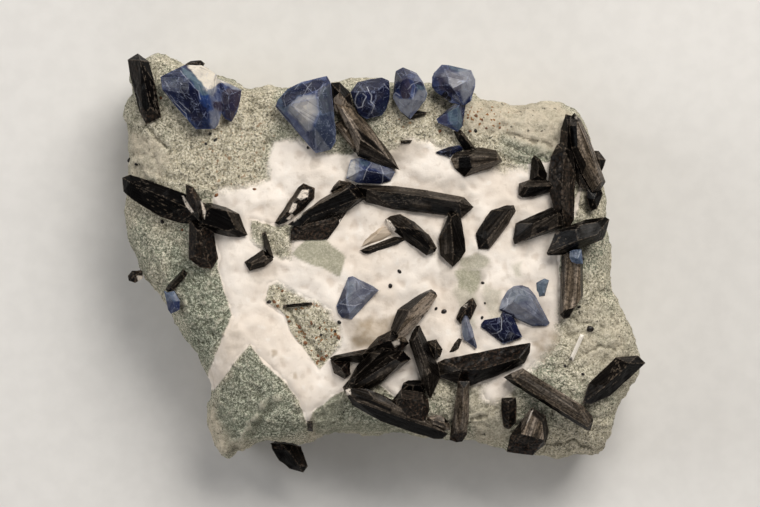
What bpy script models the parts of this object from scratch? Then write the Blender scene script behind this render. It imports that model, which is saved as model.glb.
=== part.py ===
"""Benitoite with neptunite on natrolite: a hand specimen of matrix rock with its crystals."""
import math

import bmesh
import bpy
from mathutils import Matrix, Vector, noise
from mathutils.geometry import delaunay_2d_cdt

# Lengths here are millimetres, seen from above with x to the right and y away from the viewer.
# The finished meshes are scaled to metres. Heights are measured from the face the slab rests on.
METRES_PER_MM = 0.001

# Driving sizes of the slab.
PLATEAU_HEIGHT = 30.0
SHOULDER_WIDTH = 5.5
SHOULDER_DROP = 8.0
SLOPE_SOFTNESS = 3.0
LUMP_SIZE = 11.0
LUMP_HEIGHT = 0.8

# The points that carry its surface: a row of them inside the edge and an uneven grid between.
LONGEST_EDGE = 5.4
SHOULDER_RING = 1.5
GRID_STEP = 5.1
GRID_MARGIN = 3.2
GRID_WANDER = 0.7
GRID_WANDER_SIZE = 5.0

# The natrolite lies in a shallow basin of the rock. Neighbouring solids keep a small gap.
NATROLITE_DEPTH = 2.4
GAP = 0.3
CRYSTAL_GAP = 0.4

# Upright cutters run from the lower to the upper of these heights.
CUTTER_FOOT = 2.0
CUTTER_HEAD = 60.0
CUTTER_OVERRUN = 1.0

# Every crystal is cut from a cube of this size, whose middle lies this far above the root.
ROUGH_SIZE = 60.0
ROUGH_LIFT = 5.0

# Below its widest outline a crystal narrows by this many degrees from upright, down to its root.
# One that stands out over the edge of the slab is open below: it narrows faster and goes deeper.
UNDERCUT = 16.0
ROOT_DEPTH = 4.5
OPEN_UNDERCUT = 26.0
OPEN_ROOT_DEPTH = 7.0

# The widest outline of the rock, clockwise from its upper left corner.
ROCK_OUTLINE = [
    (-62.0, 49.9), (-59.9, 51.2), (-58.4, 52.2), (-56.5, 53.0), (-54.3, 52.0), (-49.6, 49.4),
    (-45.0, 49.0), (-41.8, 47.0), (-37.0, 45.5), (-34.3, 43.1), (-31.8, 43.6), (-28.8, 44.6),
    (-25.8, 43.6), (-21.8, 43.9), (-16.5, 44.2), (-11.3, 44.9), (-7.8, 46.1), (-2.8, 46.5),
    (2.3, 45.4), (5.9, 44.6), (9.5, 44.9), (11.8, 45.5), (14.3, 43.6), (19.3, 42.6), (22.7, 42.5),
    (24.5, 40.6), (29.3, 40.4), (33.0, 39.4), (38.0, 40.1), (41.3, 40.6), (43.8, 40.4), (48.0, 38.1),
    (50.8, 35.4), (52.3, 31.4), (52.8, 28.4), (53.8, 24.1), (55.5, 19.9), (56.3, 13.4), (56.5, 6.6),
    (57.4, 1.9), (57.1, -2.4), (57.8, -7.1), (60.0, -11.6), (62.5, -16.1), (64.1, -20.9),
    (64.8, -25.1), (64.0, -29.1), (62.3, -31.1), (60.0, -35.9), (58.2, -38.6), (58.0, -43.1),
    (56.2, -46.9), (54.5, -48.6), (48.4, -49.1), (44.5, -50.1), (39.3, -48.9), (33.4, -49.1),
    (29.5, -47.6), (23.0, -45.5), (18.0, -45.0), (13.0, -44.6), (6.9, -43.5), (3.9, -43.3),
    (-1.8, -44.0), (-6.3, -43.5), (-12.0, -43.0), (-16.6, -44.6), (-21.0, -46.3), (-23.3, -45.6),
    (-30.0, -45.5), (-33.3, -46.9), (-35.1, -48.4), (-36.0, -48.5), (-37.1, -47.6), (-38.1, -50.1),
    (-39.1, -50.6), (-40.3, -50.3), (-43.1, -47.1), (-44.6, -42.4), (-44.8, -39.4), (-43.5, -32.1),
    (-43.8, -30.1), (-46.3, -24.6), (-48.8, -20.9), (-52.3, -15.6), (-54.3, -11.1), (-55.8, -8.5),
    (-59.3, -5.4), (-61.2, -2.3), (-62.8, 1.6), (-64.8, 6.9), (-65.2, 13.9), (-64.9, 16.1),
    (-64.5, 22.9), (-64.3, 30.9), (-63.8, 33.0), (-65.5, 35.9), (-65.6, 37.4), (-64.1, 40.6),
    (-62.5, 42.9), (-63.8, 45.9), (-63.6, 47.9),
]

# Broken slopes of the top: a point on the upper edge, the downhill direction and the fall per mm.
SLOPES = [
    ((-44.0, 0.0), (-1.0, -0.15), 0.34),
    ((-31.0, -28.0), (-0.72, -0.55), 0.52),
    ((-26.0, -36.0), (-0.1, -1.0), 0.62),
    ((4.0, -37.5), (0.05, -1.0), 0.62),
    ((44.0, -43.0), (0.3, -1.0), 0.55),
    ((47.0, 0.0), (1.0, 0.0), 0.26),
    ((0.0, 41.0), (0.0, 1.0), 0.30),
    ((-58.0, 44.0), (-0.8, 0.6), 0.40),
]

# The height of each ring of the side as a share of the edge's height, and how far in it is set.
# The last ring bounds the flat face that the slab rests on. The rings wander in and out, and up
# and down by a share of their height, but none of them comes out to the edge itself.
SIDE_RINGS = [(0.62, 0.9), (0.30, 2.8), (0.08, 6.0), (0.0, 9.0)]
SIDE_ROUGHNESS = 3.4
SIDE_WAVINESS = 0.4
SIDE_LUMP_SIZE = 9.0
LEAST_INSET = 0.2

# The white natrolite, clockwise from its upper left, and the patches of rock that show inside it.
NATROLITE_OUTLINE = [
    (-28.8, 25.4), (-27.0, 29.9), (-20.8, 30.9), (-16.8, 27.9), (-9.5, 26.6), (3.0, 27.9),
    (5.5, 30.9), (11.8, 30.4), (15.5, 27.9), (29.3, 23.4), (36.8, 24.1), (41.8, 24.9), (43.8, 11.6),
    (44.3, 2.9), (44.3, -14.6), (43.3, -20.9), (36.8, -27.6), (29.3, -30.9), (21.8, -30.9),
    (14.3, -29.1), (4.3, -27.9), (-3.3, -28.6), (-12.0, -33.4), (-17.8, -37.6), (-18.8, -40.9),
    (-21.3, -34.6), (-24.5, -30.1), (-30.3, -25.1), (-33.3, -21.6), (-35.8, -24.6), (-39.5, -28.4),
    (-41.0, -29.6), (-42.3, -25.9), (-38.8, -19.6), (-37.8, -13.4), (-40.3, -5.9), (-41.3, -0.1),
    (-42.3, 5.4), (-42.5, 15.4), (-39.5, 17.9), (-33.3, 19.1), (-28.3, 20.4),
]
NATROLITE_WINDOWS = [
    [(-28.3, -5.9), (-26.5, -5.6), (-20.3, -8.9), (-16.5, -10.4), (-13.3, -12.6), (-10.8, -17.1),
     (-10.8, -20.9), (-15.8, -26.9), (-20.3, -21.1), (-23.0, -17.6), (-24.5, -13.4), (-29.5, -9.6)],
    [(-33.0, 10.4), (-27.0, 9.1), (-22.5, 8.6), (-23.3, 0.4), (-26.0, 1.1), (-30.5, 3.4), (-32.8, 5.9)],
]

# A crystal is cut like a gem. It has a widest outline, which lies "rim" above the ground, and a
# crest. Each edge of the outline carries a flat face up to the crest. Three or more crest points
# lie on a flat top face. The third number of a crest point is its height above the ground.
# "base" stands in for the ground where a crystal sits on the side of the slab, "depth" is how
# far its root goes down where that isn't the usual depth, and "hangs" marks one that stands out
# over the edge.
NEPTUNITE = {
    "neptunite_upper_left_prism": [
        dict(rim=1.4, hangs=True, crest=[(-60.7, 50.3, 4.6), (-58.4, 38.2, 4.0), (-60.2, 38.9, 3.4)],
             outline=[
            (-63.9, 50.5), (-61.3, 52.1), (-58.5, 50.0), (-57.0, 44.5), (-55.4, 36.0), (-59.3, 34.3),
            (-61.0, 37.6), (-63.3, 46.5)]),
    ],
    "neptunite_sliver_behind": [
        dict(rim=1.0, crest=[(-47.4, 49.6, 2.4)], depth=3.0, outline=[
            (-49.6, 49.3), (-48.1, 50.2), (-45.5, 50.4), (-44.4, 49.5), (-45.0, 48.6), (-48.8, 48.6)]),
    ],
    "neptunite_left_cluster": [
        dict(rim=1.6, crest=[(-63.2, 19.8, 3.4), (-46.5, 12.6, 4.4)], outline=[
            (-65.3, 21.0), (-63.1, 21.9), (-59.5, 20.6), (-53.4, 18.7), (-44.4, 14.6), (-44.4, 9.2),
            (-51.1, 9.6), (-55.8, 11.2), (-62.5, 15.3), (-65.1, 17.5)]),
        dict(rim=1.4, crest=[(-38.9, 12.6, 4.3), (-38.9, 7.6, 3.9), (-45.0, 12.8, 4.6)], outline=[
            (-46.5, 13.8), (-43.4, 14.8), (-39.0, 13.5), (-35.9, 11.9), (-33.8, 6.6), (-35.9, 6.0),
            (-38.6, 6.2), (-46.5, 8.2)]),
        dict(rim=4.2, crest=[(-47.8, 17.6, 6.6), (-46.0, 12.4, 6.4)], depth=2.0, outline=[
            (-49.3, 19.4), (-47.3, 18.6), (-45.3, 15.4), (-45.0, 11.6), (-45.8, 9.9), (-47.5, 11.9),
            (-49.0, 14.6)]),
        dict(rim=1.5, crest=[(-46.4, 7.8, 4.2), (-43.6, 1.5, 3.4), (-46.9, 1.2, 3.6)], outline=[
            (-48.4, 10.6), (-42.7, 10.0), (-41.1, 0.7), (-42.8, -1.9), (-45.9, -1.6), (-48.6, 0.7)]),
    ],
    "neptunite_left_edge_bit": [
        dict(base=20.0, rim=0.8, crest=[(-62.4, -3.5, 2.3)], outline=[
            (-64.1, -3.6), (-63.0, -2.3), (-60.4, -2.3), (-60.2, -4.2), (-62.2, -5.4), (-63.9, -4.9)]),
    ],
    "neptunite_left_small_prism": [
        dict(rim=0.9, crest=[(-53.2, -6.3, 2.6), (-50.1, -2.8, 2.6)], outline=[
            (-54.5, -6.9), (-53.7, -5.7), (-49.9, -1.7), (-48.8, -3.0), (-49.5, -4.1), (-52.3, -7.3),
            (-53.9, -7.6)]),
    ],
    "neptunite_below_the_edge": [
        dict(base=14.0, rim=0.0, crest=[(-24.4, -47.4, 2.8), (-21.2, -51.2, 2.0)], outline=[
            (-28.9, -42.6), (-21.8, -43.2), (-18.9, -51.6), (-20.1, -53.2), (-23.6, -52.2),
            (-26.2, -50.2), (-28.0, -47.2)]),
    ],
    "neptunite_lower_left_block": [
        dict(rim=0.6, crest=[(-18.6, -40.3, 1.7), (-18.1, -41.9, 1.7), (-17.9, -40.3, 1.6)], outline=[
            (-19.0, -39.9), (-17.6, -39.8), (-17.5, -42.6), (-18.9, -42.4)]),
    ],
    "neptunite_veined_blade": [
        dict(rim=0.9, crest=[(-25.2, 11.0, 2.0), (-19.4, 17.4, 2.9), (-18.6, 15.8, 2.5)], outline=[
            (-27.2, 9.6), (-24.1, 14.4), (-21.2, 18.6), (-19.9, 19.6), (-17.0, 18.4), (-17.1, 15.8),
            (-19.9, 12.9), (-24.5, 9.6), (-26.0, 9.1)]),
    ],
    "neptunite_center_cross": [
        dict(rim=1.6, crest=[(-19.8, 12.0, 3.6), (-8.6, 18.2, 5.4), (-6.2, 15.6, 4.6)], outline=[
            (-23.8, 9.2), (-15.8, 15.4), (-10.8, 18.4), (-8.0, 19.6), (-5.3, 18.4), (-3.8, 16.1),
            (-9.5, 12.1), (-15.8, 9.8), (-20.8, 8.5)]),
        dict(rim=0.9, crest=[(-12.6, 9.6, 2.7), (-19.6, 8.4, 2.2)], outline=[
            (-23.0, 8.2), (-19.5, 10.9), (-8.8, 12.8), (-11.3, 8.9), (-13.8, 5.5), (-23.2, 5.2)]),
        dict(rim=1.2, crest=[(-10.8, 19.0, 3.2)], outline=[
            (-13.3, 17.6), (-12.6, 18.6), (-11.0, 20.4), (-7.8, 19.8), (-8.6, 17.6), (-12.8, 17.1)]),
        dict(rim=1.8, crest=[(-4.0, 18.0, 5.0), (19.0, 14.8, 4.6)], outline=[
            (-7.5, 18.9), (-6.5, 19.3), (3.0, 18.9), (10.5, 17.9), (20.3, 16.1), (22.8, 13.6),
            (19.8, 11.0), (3.0, 12.9), (-4.3, 14.8)]),
        dict(rim=1.3, crest=[(17.0, 11.0, 4.3), (17.4, 2.2, 4.1)], outline=[
            (16.0, 12.6), (20.0, 12.6), (20.5, 5.1), (21.0, 2.1), (19.3, 0.4), (17.8, -2.0),
            (14.3, 1.6), (13.8, 5.6)]),
    ],
    "neptunite_center_pair": [
        dict(rim=1.2, crest=[(4.0, 8.4, 3.2), (8.6, 8.0, 4.2), (12.0, 3.3, 3.4)], outline=[
            (0.5, 10.5), (1.8, 11.4), (4.3, 11.9), (8.0, 9.8), (11.5, 6.8), (13.5, 3.4), (13.0, 2.4),
            (10.6, 1.3), (6.9, 4.2), (2.2, 7.4)]),
        dict(rim=0.7, crest=[(-3.6, 2.8, 1.6), (3.6, 5.3, 1.9)], outline=[
            (-5.9, 2.8), (-4.5, 3.5), (3.0, 6.3), (6.6, 5.8), (3.4, 4.2), (-3.8, 1.8), (-5.0, 2.1)]),
    ],
    "neptunite_small_cross": [
        dict(rim=0.9, crest=[(-33.0, -0.3, 2.5), (-29.2, 1.4, 2.5), (-29.6, 0.0, 2.3)], outline=[
            (-34.8, 0.1), (-31.0, 2.4), (-30.1, 3.0), (-27.8, 1.4), (-27.4, 0.4), (-29.5, -1.3),
            (-33.3, -2.4), (-34.1, -1.3)]),
        dict(rim=0.8, crest=[(-29.5, 6.4, 1.9), (-28.5, 2.4, 2.9)], outline=[
            (-30.3, 7.1), (-29.3, 7.5), (-28.5, 5.1), (-27.3, 0.9), (-28.6, 0.6), (-29.8, 3.9)]),
    ],
    "neptunite_block_with_prism": [
        dict(rim=1.2, crest=[(21.8, 26.6, 4.4), (22.3, 23.6, 4.2), (29.0, 25.4, 3.8)], outline=[
            (16.9, 25.6), (17.8, 26.9), (23.8, 28.6), (28.3, 27.9), (29.9, 25.0), (27.0, 23.2),
            (20.3, 21.1), (17.8, 23.2)]),
        dict(rim=1.0, crest=[(19.0, 31.8, 2.2), (21.8, 29.0, 2.8)], outline=[
            (17.6, 32.5), (19.5, 33.0), (23.3, 28.1), (22.6, 26.6), (20.6, 27.6), (18.6, 30.3)]),
    ],
    "neptunite_under_benitoite": [
        dict(rim=0.9, crest=[(6.8, 36.4, 1.9), (10.2, 37.0, 1.6)], outline=[
            (4.6, 37.2), (6.7, 35.3), (10.8, 36.6), (11.0, 37.4), (7.4, 37.8)]),
    ],
    "neptunite_top_sliver": [
        dict(rim=0.7, crest=[(5.0, 29.9, 1.5), (6.6, 30.0, 1.5)], outline=[
            (4.3, 30.3), (7.4, 30.4), (6.8, 29.5), (4.4, 29.4)]),
    ],
    "neptunite_right_blade": [
        dict(rim=1.3, crest=[(31.8, 12.9, 3.4), (26.0, 5.3, 3.6)], outline=[
            (23.1, 7.0), (25.6, 11.0), (27.0, 12.8), (30.9, 14.1), (32.7, 14.1), (33.2, 12.6),
            (31.3, 9.2), (26.6, 3.0), (23.8, 3.1)]),
    ],
    "neptunite_right_cluster": [
        dict(rim=1.6, crest=[(37.5, 9.6, 4.4), (43.6, 11.8, 4.6), (37.5, 6.4, 3.6)], outline=[
            (32.4, 5.6), (33.1, 9.5), (34.3, 10.2), (41.9, 13.5), (43.6, 13.4), (47.4, 10.6),
            (46.8, 8.8), (39.4, 6.4), (33.0, 4.0)]),
        dict(rim=2.2, crest=[(45.4, 27.6, 5.0), (44.6, 13.4, 5.2)], outline=[
            (43.4, 29.2), (46.3, 30.6), (47.5, 27.6), (48.1, 21.6), (47.7, 10.4), (45.7, 7.0),
            (43.1, 11.2), (41.6, 17.0), (41.4, 22.9), (41.9, 26.2)]),
        dict(rim=1.6, crest=[(46.1, 34.4, 3.4), (45.9, 28.2, 4.6)], outline=[
            (45.6, 36.8), (47.0, 36.5), (47.5, 27.0), (43.9, 27.0), (44.4, 32.9)]),
        dict(rim=2.4, crest=[(48.6, 34.8, 4.2), (54.4, 20.0, 4.9), (48.6, 28.6, 3.8)], outline=[
            (47.8, 37.1), (49.4, 35.4), (51.4, 31.3), (55.6, 19.9), (54.4, 17.7), (52.3, 17.3),
            (49.8, 21.6), (47.0, 28.4), (46.4, 34.0), (46.8, 36.2)]),
        dict(rim=1.8, crest=[(53.9, 25.6, 3.4)], outline=[
            (52.2, 27.7), (53.9, 27.7), (55.7, 25.4), (55.3, 24.0), (54.4, 21.8), (52.9, 24.0)]),
        dict(rim=1.2, crest=[(49.0, 22.0, 2.4)], outline=[
            (47.4, 27.9), (50.4, 22.6), (51.8, 17.8), (49.2, 18.4), (47.4, 21.6)]),
        dict(rim=1.6, crest=[(52.8, 15.6, 3.2)], outline=[
            (50.9, 18.6), (50.8, 15.9), (51.9, 12.5), (53.5, 13.1), (55.0, 16.9), (54.2, 18.8)]),
        dict(rim=1.2, crest=[(35.0, 18.8, 3.4), (41.9, 18.9, 3.6)], outline=[
            (33.9, 19.5), (36.5, 20.4), (40.5, 20.5), (42.8, 19.6), (42.8, 17.6), (37.7, 16.2),
            (34.8, 15.9), (33.8, 16.6)]),
        dict(rim=1.1, crest=[(38.5, 25.0, 2.9), (38.8, 21.4, 3.3)], outline=[
            (37.8, 26.6), (37.1, 25.6), (36.6, 20.2), (40.9, 20.0), (41.0, 22.1), (39.3, 25.7)]),
        dict(rim=4.2, crest=[(48.6, 5.2, 8.0), (54.6, 8.4, 6.6), (49.4, 9.2, 6.4)], depth=3.5, outline=[
            (40.8, 2.1), (43.0, 7.3), (45.1, 8.4), (50.5, 10.5), (55.5, 11.1), (56.5, 10.5),
            (55.7, 7.3), (54.9, 5.5), (48.4, 2.9), (45.1, 1.6), (41.1, 1.5)]),
        dict(rim=2.0, crest=[(45.0, -12.2, 4.4), (49.3, -9.2, 4.4), (49.0, 2.0, 4.7)], outline=[
            (44.8, 5.6), (49.6, 5.6), (50.0, -0.6), (50.0, -8.6), (46.5, -14.0), (45.1, -14.4),
            (44.2, -13.2), (44.2, -5.4)]),
    ],
    "neptunite_lower_right_bar": [
        dict(rim=2.3, crest=[(32.6, -29.6, 3.6), (51.0, -41.4, 3.8), (35.2, -27.4, 2.9)], outline=[
            (30.1, -28.9), (31.9, -27.9), (34.8, -26.6), (49.8, -35.9), (52.2, -38.4), (52.6, -39.8),
            (51.9, -42.0), (51.2, -42.4), (45.7, -39.1), (32.3, -30.6)]),
    ],
    "neptunite_corner_prism": [
        dict(rim=1.9, crest=[(55.2, -31.4, 4.6), (61.4, -25.5, 4.8)], outline=[
            (49.8, -35.4), (51.2, -30.6), (58.2, -23.9), (63.8, -23.5), (65.7, -25.4), (62.9, -28.1),
            (56.8, -33.6), (51.8, -35.7)]),
    ],
    "neptunite_bottom_stub": [
        dict(rim=1.0, crest=[(31.2, -35.2, 2.8), (31.5, -40.4, 2.9)], outline=[
            (29.5, -33.9), (33.2, -33.9), (33.5, -36.2), (33.3, -40.4), (31.5, -42.1), (30.1, -41.4),
            (29.5, -37.6)]),
    ],
    "neptunite_bottom_wedge": [
        dict(rim=1.6, crest=[(34.6, -43.0, 5.4), (40.2, -44.6, 4.8), (37.2, -38.4, 3.8)], outline=[
            (36.8, -36.8), (37.5, -36.4), (40.7, -38.6), (41.6, -42.6), (40.7, -45.8), (37.5, -48.6),
            (30.9, -47.8), (31.8, -43.6), (34.3, -39.9)]),
    ],
    "neptunite_lower_cluster": [
        dict(rim=2.0, crest=[(11.7, -7.6, 4.4), (3.6, -17.8, 5.2)], outline=[
            (12.0, -6.9), (13.1, -7.6), (13.6, -8.6), (11.1, -12.6), (4.0, -20.9), (2.4, -19.9),
            (1.9, -16.4), (3.6, -11.9), (9.3, -8.0)]),
        dict(rim=2.2, crest=[(8.4, -18.2, 5.6), (11.4, -27.6, 6.0), (9.8, -26.0, 5.6)], outline=[
            (8.2, -16.1), (9.2, -15.9), (14.0, -26.4), (14.3, -29.0), (11.8, -34.6), (10.0, -30.9),
            (6.3, -19.6)]),
        dict(rim=1.6, crest=[(13.0, -21.6, 3.4)], outline=[
            (11.0, -19.9), (13.4, -19.4), (14.9, -21.9), (14.3, -23.8), (12.9, -24.6), (11.4, -23.0)]),
        dict(rim=1.3, crest=[(-11.0, -24.0, 3.2), (-4.6, -22.9, 4.6)], outline=[
            (-13.4, -24.1), (-12.0, -23.4), (-4.1, -21.8), (-2.4, -22.6), (-4.4, -25.4), (-12.5, -24.9)]),
        dict(rim=2.0, crest=[(-1.2, -20.6, 6.0), (3.4, -19.4, 5.8)], outline=[
            (-4.6, -22.4), (-1.3, -18.8), (2.2, -17.1), (4.8, -17.4), (6.6, -20.4), (3.0, -23.2),
            (-3.4, -24.0)]),
        dict(rim=1.0, crest=[(-11.2, -26.0, 3.0), (-9.4, -28.2, 2.8)], outline=[
            (-13.2, -24.5), (-8.2, -24.5), (-8.0, -28.2), (-9.5, -29.4), (-12.3, -27.9)]),
        dict(rim=2.6, crest=[(-6.6, -28.4, 5.4), (0.2, -22.2, 6.2)], outline=[
            (-8.6, -29.8), (-6.6, -26.1), (-3.3, -22.6), (0.0, -20.3), (4.6, -22.4), (-1.0, -26.6),
            (-7.0, -31.8)]),
        dict(rim=1.8, crest=[(-8.2, -31.6, 3.8), (3.4, -24.4, 5.4), (4.2, -25.6, 4.8)], outline=[
            (-10.1, -31.4), (-8.6, -29.6), (0.0, -22.6), (5.0, -22.2), (7.0, -24.4), (-0.8, -30.6),
            (-7.0, -33.6), (-9.3, -33.1)]),
        dict(rim=2.4, crest=[(-6.6, -34.9, 4.0), (13.8, -42.0, 3.9), (2.0, -35.8, 3.6)], outline=[
            (-10.0, -31.4), (-7.8, -35.8), (-0.6, -39.9), (6.9, -42.6), (12.8, -44.4), (14.8, -44.4),
            (16.3, -43.1), (14.3, -41.0), (8.0, -37.6), (2.5, -34.0), (-4.0, -31.8)]),
        dict(rim=2.2, crest=[(4.6, -34.2, 5.4), (10.0, -34.6, 5.0), (9.4, -38.6, 4.2)], outline=[
            (2.3, -34.6), (4.4, -31.9), (9.8, -32.6), (11.4, -34.4), (11.6, -37.1), (10.3, -40.5),
            (3.9, -39.4), (2.5, -38.6)]),
        dict(rim=1.4, crest=[(6.4, -30.8, 3.0), (9.4, -30.8, 3.0)], outline=[
            (4.3, -32.6), (5.0, -30.3), (6.3, -29.6), (10.4, -29.6), (10.6, -32.8), (7.2, -33.2)]),
        dict(rim=1.8, crest=[(12.6, -39.8, 3.7), (15.4, -40.4, 3.4), (14.6, -41.4, 3.3)], outline=[
            (11.0, -38.8), (13.5, -38.2), (15.3, -38.9), (16.6, -40.4), (17.0, -42.2), (14.1, -42.4),
            (11.0, -41.6)]),
        dict(rim=1.4, crest=[(20.2, -32.0, 3.4), (19.6, -41.8, 3.5)], outline=[
            (18.7, -29.8), (21.6, -29.8), (21.5, -38.6), (21.0, -43.3), (19.8, -45.1), (18.3, -45.4),
            (16.6, -44.6)]),
        dict(rim=1.5, crest=[(19.6, -27.0, 4.3), (34.0, -24.2, 4.1)], outline=[
            (13.6, -25.2), (15.8, -24.1), (26.5, -22.1), (36.4, -20.1), (37.0, -20.5), (36.7, -22.6),
            (35.5, -25.4), (28.3, -28.7), (21.8, -31.1), (18.5, -30.6), (13.6, -28.6)]),
    ],
    "neptunite_small_wedge": [
        dict(rim=0.7, crest=[(18.2, -21.4, 2.0), (18.9, -20.0, 1.9)], outline=[
            (16.4, -22.8), (17.8, -20.4), (18.9, -19.1), (19.8, -19.4), (18.9, -21.8), (17.6, -22.7)]),
    ],
    "neptunite_blue_neighbor": [
        dict(rim=0.8, crest=[(20.6, -12.0, 2.6), (22.2, -10.8, 2.6)], outline=[
            (18.1, -14.3), (19.3, -11.6), (21.4, -9.6), (22.5, -9.0), (23.5, -11.0), (22.0, -14.4),
            (19.8, -15.9), (18.9, -15.4)]),
    ],
    "neptunite_needle": [
        dict(rim=0.4, crest=[(-24.2, -11.2, 0.9), (-18.2, -10.6, 0.9)], depth=1.0, outline=[
            (-24.9, -11.6), (-24.9, -10.8), (-17.7, -10.1), (-17.6, -10.9)]),
    ],
    "neptunite_striated_prism": [
        dict(rim=2.2, crest=[(-10.8, 42.2, 5.0), (-9.2, 40.0, 4.8)], outline=[
            (-13.2, 44.6), (-10.8, 44.8), (-8.0, 42.1), (-7.4, 38.6), (-9.3, 36.6), (-11.5, 37.1),
            (-13.0, 40.1)]),
        dict(rim=2.0, crest=[(-10.4, 38.2, 4.6), (1.8, 25.4, 3.9)], outline=[
            (-12.8, 40.1), (-9.3, 40.8), (-2.8, 33.3), (2.5, 26.2), (4.2, 22.8), (1.0, 23.8),
            (-6.3, 26.2)]),
        dict(rim=1.8, crest=[(-9.6, 32.9, 3.9), (-7.6, 29.0, 3.6)], outline=[
            (-12.3, 34.4), (-11.5, 35.0), (-7.4, 35.4), (-5.2, 26.4), (-7.3, 27.4), (-10.1, 31.2)]),
    ],
}

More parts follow.
